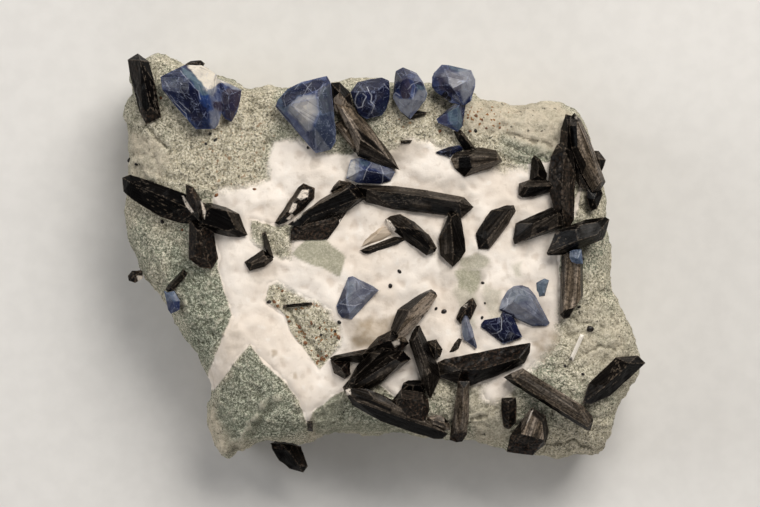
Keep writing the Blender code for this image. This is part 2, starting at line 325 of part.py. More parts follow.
BENITOITE = {
    "benitoite_upper_left_twin": [
        dict(rim=2.4, crest=[(-48.2, 45.8, 6.4), (-43.4, 42.6, 6.6), (-44.6, 36.4, 5.8)], outline=[
            (-55.6, 46.1), (-54.3, 46.9), (-49.5, 49.1), (-45.3, 49.0), (-41.6, 46.9), (-40.1, 41.8),
            (-40.0, 38.4), (-41.1, 34.3), (-42.0, 33.1), (-46.7, 33.0), (-53.4, 40.6), (-55.1, 42.8)]),
        dict(rim=1.6, crest=[(-38.6, 41.6, 4.2), (-38.2, 37.6, 3.6)], outline=[
            (-43.0, 44.9), (-41.0, 45.6), (-35.3, 42.9), (-35.6, 40.6), (-36.5, 37.1), (-37.8, 34.9),
            (-39.4, 35.6), (-42.4, 40.0)]),
    ],
    "benitoite_large_crystal": [
        dict(rim=2.6, hangs=True, crest=[(-22.6, 39.4, 6.4), (-16.2, 40.8, 8.2), (-17.0, 33.4, 7.2)],
             outline=[
            (-26.9, 38.6), (-26.3, 40.4), (-23.9, 43.1), (-20.3, 44.9), (-14.0, 46.4), (-13.0, 44.6),
            (-11.7, 32.3), (-11.8, 29.9), (-13.0, 27.9), (-16.8, 26.9)]),
    ],
    "benitoite_ringed_crystal": [
        dict(rim=2.0, hangs=True, crest=[(-4.6, 42.4, 5.4), (-1.4, 42.6, 5.8), (-2.6, 38.8, 5.2)], outline=[
            (-8.3, 42.1), (-6.4, 44.8), (-2.8, 45.7), (-0.3, 46.0), (1.6, 45.2), (1.8, 41.4),
            (0.9, 38.1), (-0.3, 36.4), (-4.1, 35.5), (-6.6, 37.1), (-7.6, 40.4)]),
    ],
    "benitoite_top_point": [
        dict(rim=2.2, hangs=True, crest=[(4.9, 45.2, 6.2), (7.6, 45.0, 6.4), (7.4, 40.4, 6.0)], outline=[
            (3.2, 47.6), (5.0, 48.6), (8.4, 47.1), (10.1, 44.8), (11.1, 41.9), (10.5, 40.0),
            (6.8, 35.6), (4.3, 37.5), (2.4, 40.9), (2.8, 45.8)]),
    ],
    "benitoite_top_right_pair": [
        dict(rim=2.4, hangs=True, crest=[(16.2, 46.0, 6.0), (17.4, 43.2, 6.4), (20.8, 45.0, 6.0)], outline=[
            (12.2, 46.1), (12.8, 47.3), (14.7, 49.2), (16.3, 49.1), (22.0, 47.8), (23.1, 45.4),
            (23.0, 43.6), (22.0, 40.1), (20.5, 39.0), (17.0, 39.6), (13.3, 42.2), (12.2, 43.6)]),
        dict(rim=1.8, crest=[(18.8, 38.8, 3.9), (18.2, 33.9, 3.2)], outline=[
            (13.3, 35.6), (16.5, 38.2), (19.8, 40.6), (20.8, 40.4), (20.0, 33.9), (18.6, 32.4),
            (13.8, 34.6)]),
    ],
    "benitoite_beside_the_prism": [
        dict(rim=1.3, crest=[(-5.0, 23.0, 3.6), (0.2, 21.9, 3.4)], outline=[
            (-8.3, 25.4), (-5.5, 26.1), (-2.8, 25.4), (1.0, 24.6), (3.0, 22.3), (2.0, 20.2),
            (-0.8, 19.4), (-6.3, 19.6), (-9.3, 20.8), (-8.8, 22.8)]),
    ],
    "benitoite_dark_shard": [
        dict(rim=0.9, crest=[(16.2, 27.6, 2.3), (18.6, 28.4, 2.4)], outline=[
            (12.8, 27.9), (16.3, 28.6), (18.4, 29.4), (20.9, 28.1), (18.0, 26.6), (17.0, 25.9),
            (13.5, 26.9)]),
    ],
    "benitoite_center_tablet": [
        dict(rim=1.1, crest=[(-8.9, -8.4, 2.9), (-8.5, -13.0, 2.7), (-3.6, -7.0, 2.4)], outline=[
            (-11.7, -11.1), (-8.7, -3.9), (-7.6, -3.6), (-2.5, -6.1), (-1.0, -7.2), (-7.8, -14.5),
            (-10.3, -14.1), (-11.3, -12.8)]),
    ],
    "benitoite_right_pair": [
        dict(rim=1.1, crest=[(33.6, -8.4, 3.6), (36.8, -9.0, 3.6), (38.6, -14.2, 2.8)], outline=[
            (29.0, -12.1), (29.6, -9.6), (31.2, -7.1), (32.5, -6.1), (34.8, -5.9), (36.4, -6.4),
            (38.1, -8.5), (41.7, -15.4), (40.8, -16.1), (37.3, -16.2), (32.5, -14.0)]),
        dict(rim=0.9, crest=[(30.2, -14.6, 2.8), (31.4, -17.6, 2.7), (29.4, -16.8, 2.4)], outline=[
            (28.6, -14.8), (29.8, -12.6), (32.3, -13.4), (34.9, -18.9), (31.8, -20.0), (30.0, -20.6),
            (28.6, -19.4)]),
        dict(rim=0.8, crest=[(28.6, -15.6, 2.3), (28.6, -18.0, 2.2), (25.6, -15.7, 1.8)], outline=[
            (24.4, -15.6), (25.3, -14.6), (28.9, -13.9), (30.6, -14.0), (30.6, -20.6), (29.6, -20.4),
            (24.5, -16.4)]),
    ],
    "benitoite_narrow_crystal": [
        dict(rim=1.1, crest=[(20.8, -14.8, 2.9), (22.2, -19.2, 2.3)], outline=[
            (20.4, -12.9), (19.6, -15.4), (19.8, -18.1), (20.3, -19.6), (23.4, -21.9), (23.5, -21.1),
            (22.3, -16.6), (21.0, -13.3)]),
    ],
    "benitoite_small_tablet": [
        dict(rim=0.7, crest=[(39.4, -5.6, 1.7), (40.2, -7.8, 1.6), (40.8, -5.6, 1.6)], outline=[
            (38.3, -5.3), (40.5, -4.1), (41.5, -4.7), (40.5, -8.6), (39.0, -8.8), (38.4, -7.1)]),
    ],
    "benitoite_on_neptunite": [
        dict(rim=5.6, crest=[(48.0, 1.0, 6.6), (48.8, 0.4, 6.6)], depth=-3.0, outline=[
            (46.5, 2.9), (49.5, 3.1), (49.9, -0.6), (48.3, -0.6), (47.0, -0.1), (46.4, 1.1)]),
    ],
    "benitoite_left_edge_crystal": [
        dict(rim=0.8, crest=[(-52.8, -9.6, 2.0), (-52.2, -11.4, 1.8)], outline=[
            (-54.8, -7.4), (-52.3, -7.2), (-50.8, -9.8), (-50.8, -12.1), (-53.1, -13.1), (-53.8, -12.1)]),
    ],
}

NATROLITE_CRYSTALS = {
    "natrolite_wedge": [
        dict(rim=0.6, crest=[(-1.4, 6.8, 1.5), (-3.6, 4.8, 1.2)], depth=2.0, outline=[
            (-5.5, 3.6), (-4.5, 5.4), (-3.3, 6.9), (-1.5, 8.1), (0.5, 8.9), (2.2, 6.9), (-0.8, 5.0)]),
    ],
    "natrolite_stick": [
        dict(rim=0.5, crest=[(49.5, -18.9, 1.1), (47.2, -24.2, 1.1)], depth=1.0, outline=[
            (49.3, -18.1), (50.3, -18.4), (47.5, -24.9), (46.5, -24.5)]),
    ],
}

# Where crystals of two kinds meet, the first is cut back round the second.
CUT_BACK = [
    ("neptunite_striated_prism", "benitoite_large_crystal"),
    ("neptunite_striated_prism", "benitoite_ringed_crystal"),
    ("benitoite_beside_the_prism", "neptunite_striated_prism"),
    ("benitoite_beside_the_prism", "neptunite_center_cross"),
    ("neptunite_block_with_prism", "benitoite_top_right_pair"),
    ("benitoite_dark_shard", "neptunite_block_with_prism"),
    ("neptunite_blue_neighbor", "benitoite_narrow_crystal"),
    ("benitoite_on_neptunite", "neptunite_right_cluster"),
    ("benitoite_left_edge_crystal", "neptunite_left_small_prism"),
    ("neptunite_sliver_behind", "benitoite_upper_left_twin"),
    ("neptunite_under_benitoite", "benitoite_top_point"),
    ("natrolite_wedge", "neptunite_center_pair"),
    ("benitoite_ringed_crystal", "benitoite_top_point"),
    ("neptunite_veined_blade", "neptunite_center_cross"),
]

# Colour, roughness and metallic value of each kind of stone.
FINISHES = {
    "matrix_rock": ((0.32, 0.32, 0.26), 0.9),
    "natrolite": ((0.78, 0.72, 0.66), 0.6),
    "neptunite": ((0.02, 0.013, 0.011), 0.25),
    "benitoite": ((0.08, 0.12, 0.36), 0.2),
}


def clear_scene():
    """Start from an empty scene."""
    for thing in list(bpy.data.objects):
        bpy.data.objects.remove(thing, do_unlink=True)


def stone_material(name):
    """A plain principled surface for one object."""
    kind = next(key for key in FINISHES if name.startswith(key))
    colour, roughness = FINISHES[kind]
    material = bpy.data.materials.new(name)
    material.use_nodes = True
    shader = material.node_tree.nodes["Principled BSDF"]
    shader.inputs["Base Color"].default_value = (*colour, 1.0)
    shader.inputs["Roughness"].default_value = roughness
    shader.inputs["Metallic"].default_value = 0.0
    return material


def new_object(name, mesh):
    """An object in the scene with its own material."""
    thing = bpy.data.objects.new(name, mesh)
    bpy.context.collection.objects.link(thing)
    return thing


def mesh_from(shape, name):
    """Turn a bmesh into a mesh with its faces pointing out."""
    bmesh.ops.recalc_face_normals(shape, faces=shape.faces)
    mesh = bpy.data.meshes.new(name)
    shape.to_mesh(mesh)
    shape.free()
    return mesh


def combine(target, tool, operation):
    """Join the tool to the target or cut it away, at once."""
    step = target.modifiers.new(operation, 'BOOLEAN')
    step.operation = operation
    step.solver = 'EXACT'
    step.object = tool
    evaluated = target.evaluated_get(bpy.context.evaluated_depsgraph_get())
    result = bpy.data.meshes.new_from_object(evaluated)
    target.modifiers.clear()
    target.data = result


def keep_largest_body(target):
    """Drop the splinters that a cut leaves."""
    shape = bmesh.new()
    shape.from_mesh(target.data)
    left = set(shape.verts)
    bodies = []
    while left:
        front = [left.pop()]
        body = set(front)
        while front:
            corner = front.pop()
            near = [edge.other_vert(corner) for edge in corner.link_edges]
            fresh = [vert for vert in near if vert in left]
            left.difference_update(fresh)
            body.update(fresh)
            front.extend(fresh)
        bodies.append(body)
    bodies.sort(key=len)
    spare = [vert for body in bodies[:-1] for vert in body]
    bmesh.ops.delete(shape, geom=spare, context='VERTS')
    shape.to_mesh(target.data)
    shape.free()


def drop(tool):
    """Remove a cutter once it is used."""
    bpy.data.objects.remove(tool, do_unlink=True)


def edge_distance(x, y, outline):
    """Distance from a point to the nearest edge of an outline."""
    point = Vector((x, y))
    nearest = math.inf
    for start, end in zip(outline, outline[1:] + outline[:1]):
        start = Vector(start)
        along = Vector(end) - start
        share = max(0.0, min(1.0, (point - start).dot(along) / along.length_squared))
        nearest = min(nearest, (point - start - along * share).length)
    return nearest


def inside(x, y, outline):
    """Whether a point lies within an outline."""
    crossings = 0
    for (x0, y0), (x1, y1) in zip(outline, outline[1:] + outline[:1]):
        if (y0 > y) != (y1 > y) and x < x0 + (y - y0) * (x1 - x0) / (y1 - y0):
            crossings += 1
    return crossings % 2 == 1


def unevenness(x, y, layer, size):
    """Smooth noise between -1 and 1 over the plan, with another pattern on each layer."""
    return noise.noise(Vector((x, y, layer)) / size)


def broken_height(x, y):
    """Height of the plateau and of the broken slopes round it."""
    height = PLATEAU_HEIGHT
    for (edge_x, edge_y), (down_x, down_y), fall in SLOPES:
        length = math.hypot(down_x, down_y)
        past = ((x - edge_x) * down_x + (y - edge_y) * down_y) / length
        softened = (past + math.hypot(past, SLOPE_SOFTNESS)) / 2.0
        height = min(height, PLATEAU_HEIGHT + 0.3 * SLOPE_SOFTNESS - fall * softened)
    return height


def surface_height(x, y):
    """Height of the top of the slab, with its lumps and its rounded edge."""
    height = broken_height(x, y) + LUMP_HEIGHT * unevenness(x, y, 3.0, LUMP_SIZE)
    distance = edge_distance(x, y, ROCK_OUTLINE)
    if distance < SHOULDER_WIDTH:
        share = 1.0 - distance / SHOULDER_WIDTH
        height -= SHOULDER_DROP * (1.0 - math.sqrt(max(0.0, 1.0 - share * share)))
    return height


def split_long_edges(outline, longest):
    """The outline with points added where its edges are long."""
    points = []
    for (x0, y0), (x1, y1) in zip(outline, outline[1:] + outline[:1]):
        count = max(1, math.ceil(math.hypot(x1 - x0, y1 - y0) / longest))
        for step in range(count):
            share = step / count
            points.append((x0 + (x1 - x0) * share, y0 + (y1 - y0) * share))
    return points


def slab_mesh():
    """The whole slab: a triangulated top, rough sides in rings and a flat face below."""
    rim = split_long_edges(ROCK_OUTLINE, LONGEST_EDGE)
    points = [Vector(point) for point in rim]
    edges = [(k, (k + 1) % len(rim)) for k in range(len(rim))]
    for start, end in zip(points[:len(rim)], points[1:len(rim)] + points[:1]):
        along = end - start
        point = (start + end) / 2.0 + Vector((along.y, -along.x)).normalized() * SHOULDER_RING
        if inside(*point, rim) and edge_distance(*point, rim) > 0.8 * SHOULDER_RING:
            if min((point - other).length for other in points) > 0.7 * SHOULDER_RING:
                points.append(point)
    row_step = GRID_STEP * math.sqrt(0.75)
    columns = math.ceil(max(abs(x) for x, y in rim) / GRID_STEP)
    rows = math.ceil(max(abs(y) for x, y in rim) / row_step)
    for row in range(-rows, rows + 1):
        for column in range(-columns, columns + 1):
            x = (column + 0.5 * (row % 2)) * GRID_STEP
            y = row * row_step
            x += GRID_WANDER * unevenness(x, y, 20.0, GRID_WANDER_SIZE)
            y += GRID_WANDER * unevenness(x, y, 40.0, GRID_WANDER_SIZE)
            if inside(x, y, rim) and edge_distance(x, y, rim) > GRID_MARGIN:
                points.append(Vector((x, y)))
    corners, _, triangles, _, _, _ = delaunay_2d_cdt(points, edges, [], 1, 1e-5)
    shape = bmesh.new()
    verts = [shape.verts.new((p.x, p.y, surface_height(p.x, p.y))) for p in corners]
    for triangle in triangles:
        shape.faces.new([verts[k] for k in triangle])
    above = verts[:len(rim)]
    for level, inset in SIDE_RINGS:
        below = []
        for (x, y), top in zip(rim, verts):
            rough = SIDE_ROUGHNESS * unevenness(x, y, top.co.z * level, SIDE_LUMP_SIZE)
            scale = 1.0 - max(LEAST_INSET, inset + rough) / math.hypot(x, y)
            wave = 1.0 + SIDE_WAVINESS * unevenness(x, y, 60.0, SIDE_LUMP_SIZE)
            below.append(shape.verts.new((x * scale, y * scale, top.co.z * level * wave)))
        for k in range(len(rim)):
            after = (k + 1) % len(rim)
            shape.faces.new((above[k], above[after], below[after], below[k]))
        above = below
    shape.faces.new(above)
    bmesh.ops.triangulate(shape, faces=[face for face in shape.faces if len(face.verts) == 4])
    return mesh_from(shape, "slab")


def moved_copy(source, name, offset, lift=0.0):
    """A copy of an object moved out along its normals, or lifted."""
    mesh = source.data.copy()
    normals = [vert.normal.copy() for vert in mesh.vertices]
    for vert, normal in zip(mesh.vertices, normals):
        vert.co += normal * offset + Vector((0.0, 0.0, lift))
    return new_object(name, mesh)


def prism(name, outline, low, high, grow=0.0):
    """An upright prism over an outline, grown sideways by a margin."""
    shape = bmesh.new()
    corners = [Vector(point) for point in outline]
    ring = []
    for k, corner in enumerate(corners):
        before = (corner - corners[k - 1]).normalized()
        after = (corners[(k + 1) % len(corners)] - corner).normalized()
        side = (Vector((-before.y, before.x)) + Vector((-after.y, after.x))).normalized()
        stretch = 1.0 / max(0.45, side.dot(Vector((-after.y, after.x))))
        ring.append(corner + side * grow * stretch)
    bottom = [shape.verts.new((point.x, point.y, low)) for point in ring]
    top = [shape.verts.new((point.x, point.y, high)) for point in ring]
    shape.faces.new(bottom)
    shape.faces.new(top)
    for k in range(len(ring)):
        after = (k + 1) % len(ring)
        shape.faces.new((bottom[k], bottom[after], top[after], top[k]))
    return new_object(name, mesh_from(shape, name))


def natrolite_body(slab, name, grow, depth):
    """The slab's upper layer within the natrolite outline, with its windows cut out."""
    crust = prism(name, NATROLITE_OUTLINE, CUTTER_FOOT, CUTTER_HEAD, grow)
    for number, outline in enumerate(NATROLITE_WINDOWS):
        foot = CUTTER_FOOT - CUTTER_OVERRUN
        head = CUTTER_HEAD + CUTTER_OVERRUN
        window = prism(f"window_{number}", outline, foot, head, -grow)
        combine(crust, window, 'DIFFERENCE')
        drop(window)
    floor = moved_copy(slab, "floor", 0.0, -depth)
    combine(crust, floor, 'DIFFERENCE')
    drop(floor)
    return crust


def cut_plane(shape, point, normal):
    """Keep what lies behind a plane and close the cut with a flat face."""
    parts = shape.verts[:] + shape.edges[:] + shape.faces[:]
    cut = bmesh.ops.bisect_plane(
        shape, geom=parts, plane_co=point, plane_no=normal, clear_outer=True, dist=1e-4)
    rim = [part for part in cut["geom_cut"] if isinstance(part, bmesh.types.BMEdge)]
    if len(rim) > 2:
        bmesh.ops.edgeloop_fill(shape, edges=rim)


def facet(first, second, third, outside):
    """A plane through three points, with its normal towards the given side."""
    normal = (second - first).cross(third - first).normalized()
    if normal.dot(outside) < 0.0:
        normal.negate()
    return first, normal


def crystal_planes(outline, crest, rim, base=None, depth=ROOT_DEPTH, hangs=False):
    """A point and an outward normal for each flat face of a crystal."""
    corners = [Vector(point) for point in outline]
    middle = sum(corners, Vector((0.0, 0.0))) / len(corners)
    tilt = Vector((0.0, 0.0))
    if base is None:
        base = broken_height(*middle)
        tilt.x = (broken_height(middle.x + 1.0, middle.y) - broken_height(middle.x - 1.0, middle.y)) / 2.0
        tilt.y = (broken_height(middle.x, middle.y + 1.0) - broken_height(middle.x, middle.y - 1.0)) / 2.0

    def place(point, height):
        flat = Vector(point[:2])
        return Vector((flat.x, flat.y, base + tilt.dot(flat - middle) + height))

    if hangs:
        depth = OPEN_ROOT_DEPTH
    lean = math.tan(math.radians(OPEN_UNDERCUT if hangs else UNDERCUT))
    planes = [(place(middle, -depth), Vector((0.0, 0.0, -1.0)))]
    for start, end in zip(corners, corners[1:] + corners[:1]):
        along = (end - start).normalized()
        inward = Vector((-along.y, along.x))
        if inward.dot(middle - start) < 0.0:
            inward.negate()
        steepest = max(crest, key=lambda top: (top[2] - rim) / inward.dot(Vector(top[:2]) - start))
        first = place(start, rim)
        second = place(end, rim)
        below = place((start + inward * lean), rim - 1.0)
        away = Vector((-inward.x, -inward.y, 0.0))
        planes.append(facet(first, second, place(steepest, steepest[2]), away))
        planes.append(facet(first, second, below, away))
    if len(crest) > 2:
        planes.append(facet(*(place(top, top[2]) for top in crest[:3]), Vector((0.0, 0.0, 1.0))))
    return planes


def cut_crystal(name, planes, grow=0.0):
    """One convex crystal from its planes, each moved out by a margin."""
    shape = bmesh.new()
    bmesh.ops.create_cube(shape, size=ROUGH_SIZE)
    bmesh.ops.translate(shape, verts=shape.verts, vec=planes[0][0] + Vector((0.0, 0.0, ROUGH_LIFT)))
    for point, normal in planes:
        cut_plane(shape, point + normal * grow, normal)
    return new_object(name, mesh_from(shape, name))


def cluster(name, parts, grow=0.0):
    """Crystals that have grown together, joined in one solid."""
    whole = cut_crystal(name, crystal_planes(**parts[0]), grow)
    for part in parts[1:]:
        neighbour = cut_crystal("neighbour", crystal_planes(**part), grow)
        combine(whole, neighbour, 'UNION')
        drop(neighbour)
    return whole


def tidy_surface(target):
    """Melt away the points that a cut left on straight edges and flat faces."""
    shape = bmesh.new()
    shape.from_mesh(target.data)
    bmesh.ops.remove_doubles(shape, verts=shape.verts, dist=0.01)
    bmesh.ops.dissolve_limit(
        shape, angle_limit=math.radians(0.4), verts=shape.verts, edges=shape.edges)
    bmesh.ops.triangulate(shape, faces=[face for face in shape.faces if len(face.verts) > 3])
    shape.to_mesh(target.data)
    shape.free()


def settle(nodes):
    """Centre the specimen over the origin in metres, each node hung on one empty."""
    corners = [vert.co for node in nodes for vert in node.data.vertices]
    low = Vector([min(corner[axis] for corner in corners) for axis in range(3)])
    high = Vector([max(corner[axis] for corner in corners) for axis in range(3)])
    origin = Vector(((low.x + high.x) / 2.0, (low.y + high.y) / 2.0, low.z))
    specimen = bpy.data.objects.new("specimen", None)
    bpy.context.collection.objects.link(specimen)
    for node in nodes:
        points = [vert.co for vert in node.data.vertices]
        middle = sum(points, Vector()) / len(points)
        node.data.transform(Matrix.Translation(-middle))
        node.data.transform(Matrix.Scale(METRES_PER_MM, 4))
        node.location = (middle - origin) * METRES_PER_MM
        node.parent = specimen


def main():
    clear_scene()
    slab = new_object("slab", slab_mesh())
    rock = new_object("matrix_rock", slab.data.copy())
    basin = natrolite_body(slab, "basin", GAP, NATROLITE_DEPTH + GAP)
    combine(rock, basin, 'DIFFERENCE')
    drop(basin)
    crust = natrolite_body(slab, "natrolite_crust", 0.0, NATROLITE_DEPTH)
    combine(crust, slab, 'INTERSECT')

    ground = moved_copy(slab, "ground", CRYSTAL_GAP)
    groups = {**NEPTUNITE, **BENITOITE, **NATROLITE_CRYSTALS}
    nodes = {name: cluster(name, parts) for name, parts in groups.items()}
    for name, other in CUT_BACK:
        for number, part in enumerate(groups[other]):
            margin = cut_crystal(f"margin_{number}", crystal_planes(**part), GAP)
            combine(nodes[name], margin, 'DIFFERENCE')
            drop(margin)
    for node in nodes.values():
        combine(node, ground, 'DIFFERENCE')
    drop(ground)
    drop(slab)

    everything = [rock, crust, *nodes.values()]
    for node in everything:
        tidy_surface(node)
        keep_largest_body(node)
        node.data.materials.clear()
        node.data.materials.append(stone_material(node.name))
    settle(everything)


main()
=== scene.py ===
import math

import bpy
import numpy as np
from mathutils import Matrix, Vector, noise
from mathutils.bvhtree import BVHTree


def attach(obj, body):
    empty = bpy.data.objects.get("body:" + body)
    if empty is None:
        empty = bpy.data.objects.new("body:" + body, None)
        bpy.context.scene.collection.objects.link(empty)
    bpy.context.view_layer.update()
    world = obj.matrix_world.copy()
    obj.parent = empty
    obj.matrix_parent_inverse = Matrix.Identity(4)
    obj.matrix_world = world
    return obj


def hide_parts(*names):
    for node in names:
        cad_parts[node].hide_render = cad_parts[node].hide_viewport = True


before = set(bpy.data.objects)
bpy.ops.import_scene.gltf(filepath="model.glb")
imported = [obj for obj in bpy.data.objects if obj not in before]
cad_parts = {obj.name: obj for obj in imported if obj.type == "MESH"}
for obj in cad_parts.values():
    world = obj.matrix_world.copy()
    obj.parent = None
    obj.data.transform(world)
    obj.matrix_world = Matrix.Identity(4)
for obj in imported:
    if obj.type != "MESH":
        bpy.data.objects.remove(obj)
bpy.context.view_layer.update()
MM = 0.001


# The specimen lies flat on a pale table and is seen from straight above through a long lens. One
# large soft light stands behind it on the right, and weaker ones fill in from the other sides.
# The table top is plain pale card.
PLATEAU = 0.030
EYE_ABOVE_PLATEAU = 2.111
EYE = (-0.00080, 0.00210)


def clear_selection():
    """Nothing is left selected, so that the next operator acts on one piece."""
    if bpy.context.mode != 'OBJECT':
        bpy.ops.object.mode_set(mode='OBJECT')
    bpy.ops.object.select_all(action='DESELECT')


def soft_light(name, place, width, power, tint):
    """A square lamp at a place, turned towards the middle of the specimen."""
    towards = Vector((0.0, 0.0, PLATEAU)) - Vector(place)
    turn = towards.to_track_quat('-Z', 'Y').to_euler()
    bpy.ops.object.light_add(type='AREA', location=place, rotation=turn)
    lamp = bpy.context.object
    lamp.name = name
    lamp.data.shape = 'SQUARE'
    lamp.data.size = width
    lamp.data.energy = power
    lamp.data.color = tint


clear_selection()
bpy.ops.object.camera_add(location=(*EYE, PLATEAU + EYE_ABOVE_PLATEAU), rotation=(0.0, 0.0, 0.0))
camera = bpy.context.object
camera.data.lens = 400.0
camera.data.sensor_width = 36.0
camera.data.clip_end = 30.0
bpy.context.scene.camera = camera

soft_light("key_light", (0.45, 0.85, 0.95), 0.85, 21.0, (1.0, 0.975, 0.93))
soft_light("left_light", (-1.10, 0.25, 0.70), 0.70, 5.5, (0.96, 0.98, 1.0))
soft_light("near_light", (0.10, -1.10, 0.70), 0.80, 3.5, (1.0, 0.98, 0.96))
bpy.context.scene.view_settings.view_transform = 'Standard'

world = bpy.data.worlds.new("studio")
world.use_nodes = True
world.node_tree.nodes["Background"].inputs["Color"].default_value = (0.80, 0.80, 0.82, 1.0)
world.node_tree.nodes["Background"].inputs["Strength"].default_value = 0.16
bpy.context.scene.world = world


def add(tree, kind, settings=None, **sockets):
    """One shader node, with its settings and with values or links for its sockets."""
    made = tree.nodes.new("ShaderNode" + kind)
    for key, value in (settings or {}).items():
        setattr(made, key, value)
    for key, value in sockets.items():
        socket = made.inputs[key.replace("_", " ")]
        if isinstance(value, bpy.types.NodeSocket):
            tree.links.new(value, socket)
        else:
            socket.default_value = value
    return made


def rise(tree, value, low, high, to_low=0.0, to_high=1.0):
    """A soft step of a value from one limit to another."""
    made = add(tree, "MapRange", {"interpolation_type": 'SMOOTHSTEP'}, Value=value, From_Min=low,
               From_Max=high, To_Min=to_low, To_Max=to_high)
    return made.outputs["Result"]


def tinted(tree, share, below, above):
    """One colour over another, by a share."""
    made = tree.nodes.new("ShaderNodeMix")
    made.data_type = 'RGBA'
    for number, value in ((0, share), (6, below), (7, above)):
        if isinstance(value, bpy.types.NodeSocket):
            tree.links.new(value, made.inputs[number])
        else:
            made.inputs[number].default_value = value
    return made.outputs[2]


def colour(red, green, blue):
    """A colour as the eye names it, from 0 to 255, as light."""
    steps = [value / 255.0 for value in (red, green, blue)]
    light = [s / 12.92 if s < 0.04045 else ((s + 0.055) / 1.055) ** 2.4 for s in steps]
    return (*light, 1.0)


def new_material(name, roughness, **sockets):
    """A material with its shader and the piece's own coordinates, in metres."""
    material = bpy.data.materials.new(name)
    material.use_nodes = True
    tree = material.node_tree
    shader = tree.nodes["Principled BSDF"]
    shader.inputs["Roughness"].default_value = roughness
    for key, value in sockets.items():
        shader.inputs[key.replace("_", " ")].default_value = value
    return material, tree, shader, add(tree, "TexCoord").outputs["Object"]


clear_selection()
bpy.ops.mesh.primitive_plane_add(size=8.0)
table_top = bpy.context.object
table_top.name = "pale_table"
card, tree, shader, where = new_material("pale_card", 0.85)
fibres = add(tree, "TexNoise", None, Vector=where, Scale=220.0, Detail=2.0).outputs["Fac"]
shade = tinted(tree, rise(tree, fibres, 0.3, 0.7), colour(214, 211, 207), colour(218, 215, 211))
tree.links.new(shade, shader.inputs["Base Color"])
table_top.data.materials.append(card)


# The matrix rock: one broken slab of grey-green, fine-grained stone with a rough top. It starts
# from the solid rock with its shallow basin filled level, is rebuilt in small even faces, finer on
# top than on its sides, and is then roughened and cracked. Its underside stays flat.
def copy_of(node, name):
    """A merged copy of a solid to work on; the solid itself stays as it is."""
    clear_selection()
    piece = bpy.data.objects.new(name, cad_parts[node].data.copy())
    bpy.context.collection.objects.link(piece)
    bpy.context.view_layer.objects.active = piece
    piece.select_set(True)
    bpy.ops.mesh.customdata_custom_splitnormals_clear()
    bpy.ops.object.mode_set(mode='EDIT')
    bpy.ops.mesh.select_all(action='SELECT')
    bpy.ops.mesh.remove_doubles(threshold=1e-6)
    bpy.ops.mesh.normals_make_consistent(inside=False)
    bpy.ops.object.mode_set(mode='OBJECT')
    piece.data.materials.clear()
    return piece


def shaped(piece, kind, **settings):
    """A modifier, set and applied at once."""
    clear_selection()
    bpy.context.view_layer.objects.active = piece
    piece.select_set(True)
    step = piece.modifiers.new(kind.lower(), kind)
    for key, value in settings.items():
        setattr(step, key, value)
    bpy.ops.object.modifier_apply(modifier=step.name)


def relief(kind, size, **settings):
    """A pattern for pushing points in and out, with lumps of a size."""
    pattern = bpy.data.textures.new(kind.lower(), kind)
    pattern.noise_scale = size
    for key, value in settings.items():
        setattr(pattern, key, value)
    return pattern


def points_of(piece):
    """Every point of a piece, in metres."""
    flat = np.empty(len(piece.data.vertices) * 3, np.float32)
    piece.data.vertices.foreach_get("co", flat)
    return flat.reshape(-1, 3).astype(float)


def move_points(piece, points):
    """Put every point of a piece in a new place."""
    piece.data.vertices.foreach_set("co", points.astype(np.float32).ravel())
    piece.data.update()


def face_values(piece, what):
    """The normal or the middle of every face."""
    flat = np.empty(len(piece.data.polygons) * 3, np.float32)
    piece.data.polygons.foreach_get(what, flat)
    return flat.reshape(-1, 3).astype(float)


def pick_faces(piece, wanted):
    """Select the given faces of a piece and go into edit mode."""
    clear_selection()
    bpy.context.view_layer.objects.active = piece
    piece.select_set(True)
    bpy.ops.object.mode_set(mode='EDIT')
    bpy.ops.mesh.select_mode(type='FACE')
    bpy.ops.mesh.select_all(action='DESELECT')
    bpy.ops.object.mode_set(mode='OBJECT')
    piece.data.polygons.foreach_set("select", wanted)
    bpy.ops.object.mode_set(mode='EDIT')


def limit_group(piece, name, weights):
    """A vertex group that holds a modifier back by a weight for each point."""
    made = piece.vertex_groups.new(name=name)
    levels = np.round(np.clip(weights, 0.0, 1.0) * 20).astype(int)
    for level in range(1, 21):
        members = np.nonzero(levels == level)[0]
        if len(members):
            made.add([int(k) for k in members], level / 20.0, 'REPLACE')
    return name


def soft_step(value, low, high):
    """Rises softly from 0 to 1 between two limits."""
    share = np.clip((value - low) / (high - low), 0.0, 1.0)
    return share * share * (3.0 - 2.0 * share)


rock = copy_of("matrix_rock", "rock_slab")
filling = copy_of("natrolite_crust", "basin_filling")
shaped(filling, 'DISPLACE', strength=0.5 * MM, mid_level=0.0)
bpy.ops.transform.translate(value=(0.0, 0.0, -0.45 * MM))
rock.select_set(True)
bpy.context.view_layer.objects.active = rock
bpy.ops.object.join()
shaped(rock, 'REMESH', mode='VOXEL', voxel_size=0.95 * MM)

# Broken hollows in the sides, none of them out to the widest edge or down to the flat underside.
heights = points_of(rock)[:, 2]
side = soft_step(heights, 0.8 * MM, 4.0 * MM) * (1.0 - soft_step(heights, 13.0 * MM, 19.0 * MM))
shaped(rock, 'DISPLACE', strength=1.1 * MM, mid_level=0.8, texture_coords='LOCAL',
       texture=relief('VORONOI', 11.0 * MM, distance_metric='DISTANCE_SQUARED'),
       vertex_group=limit_group(rock, "side", side))

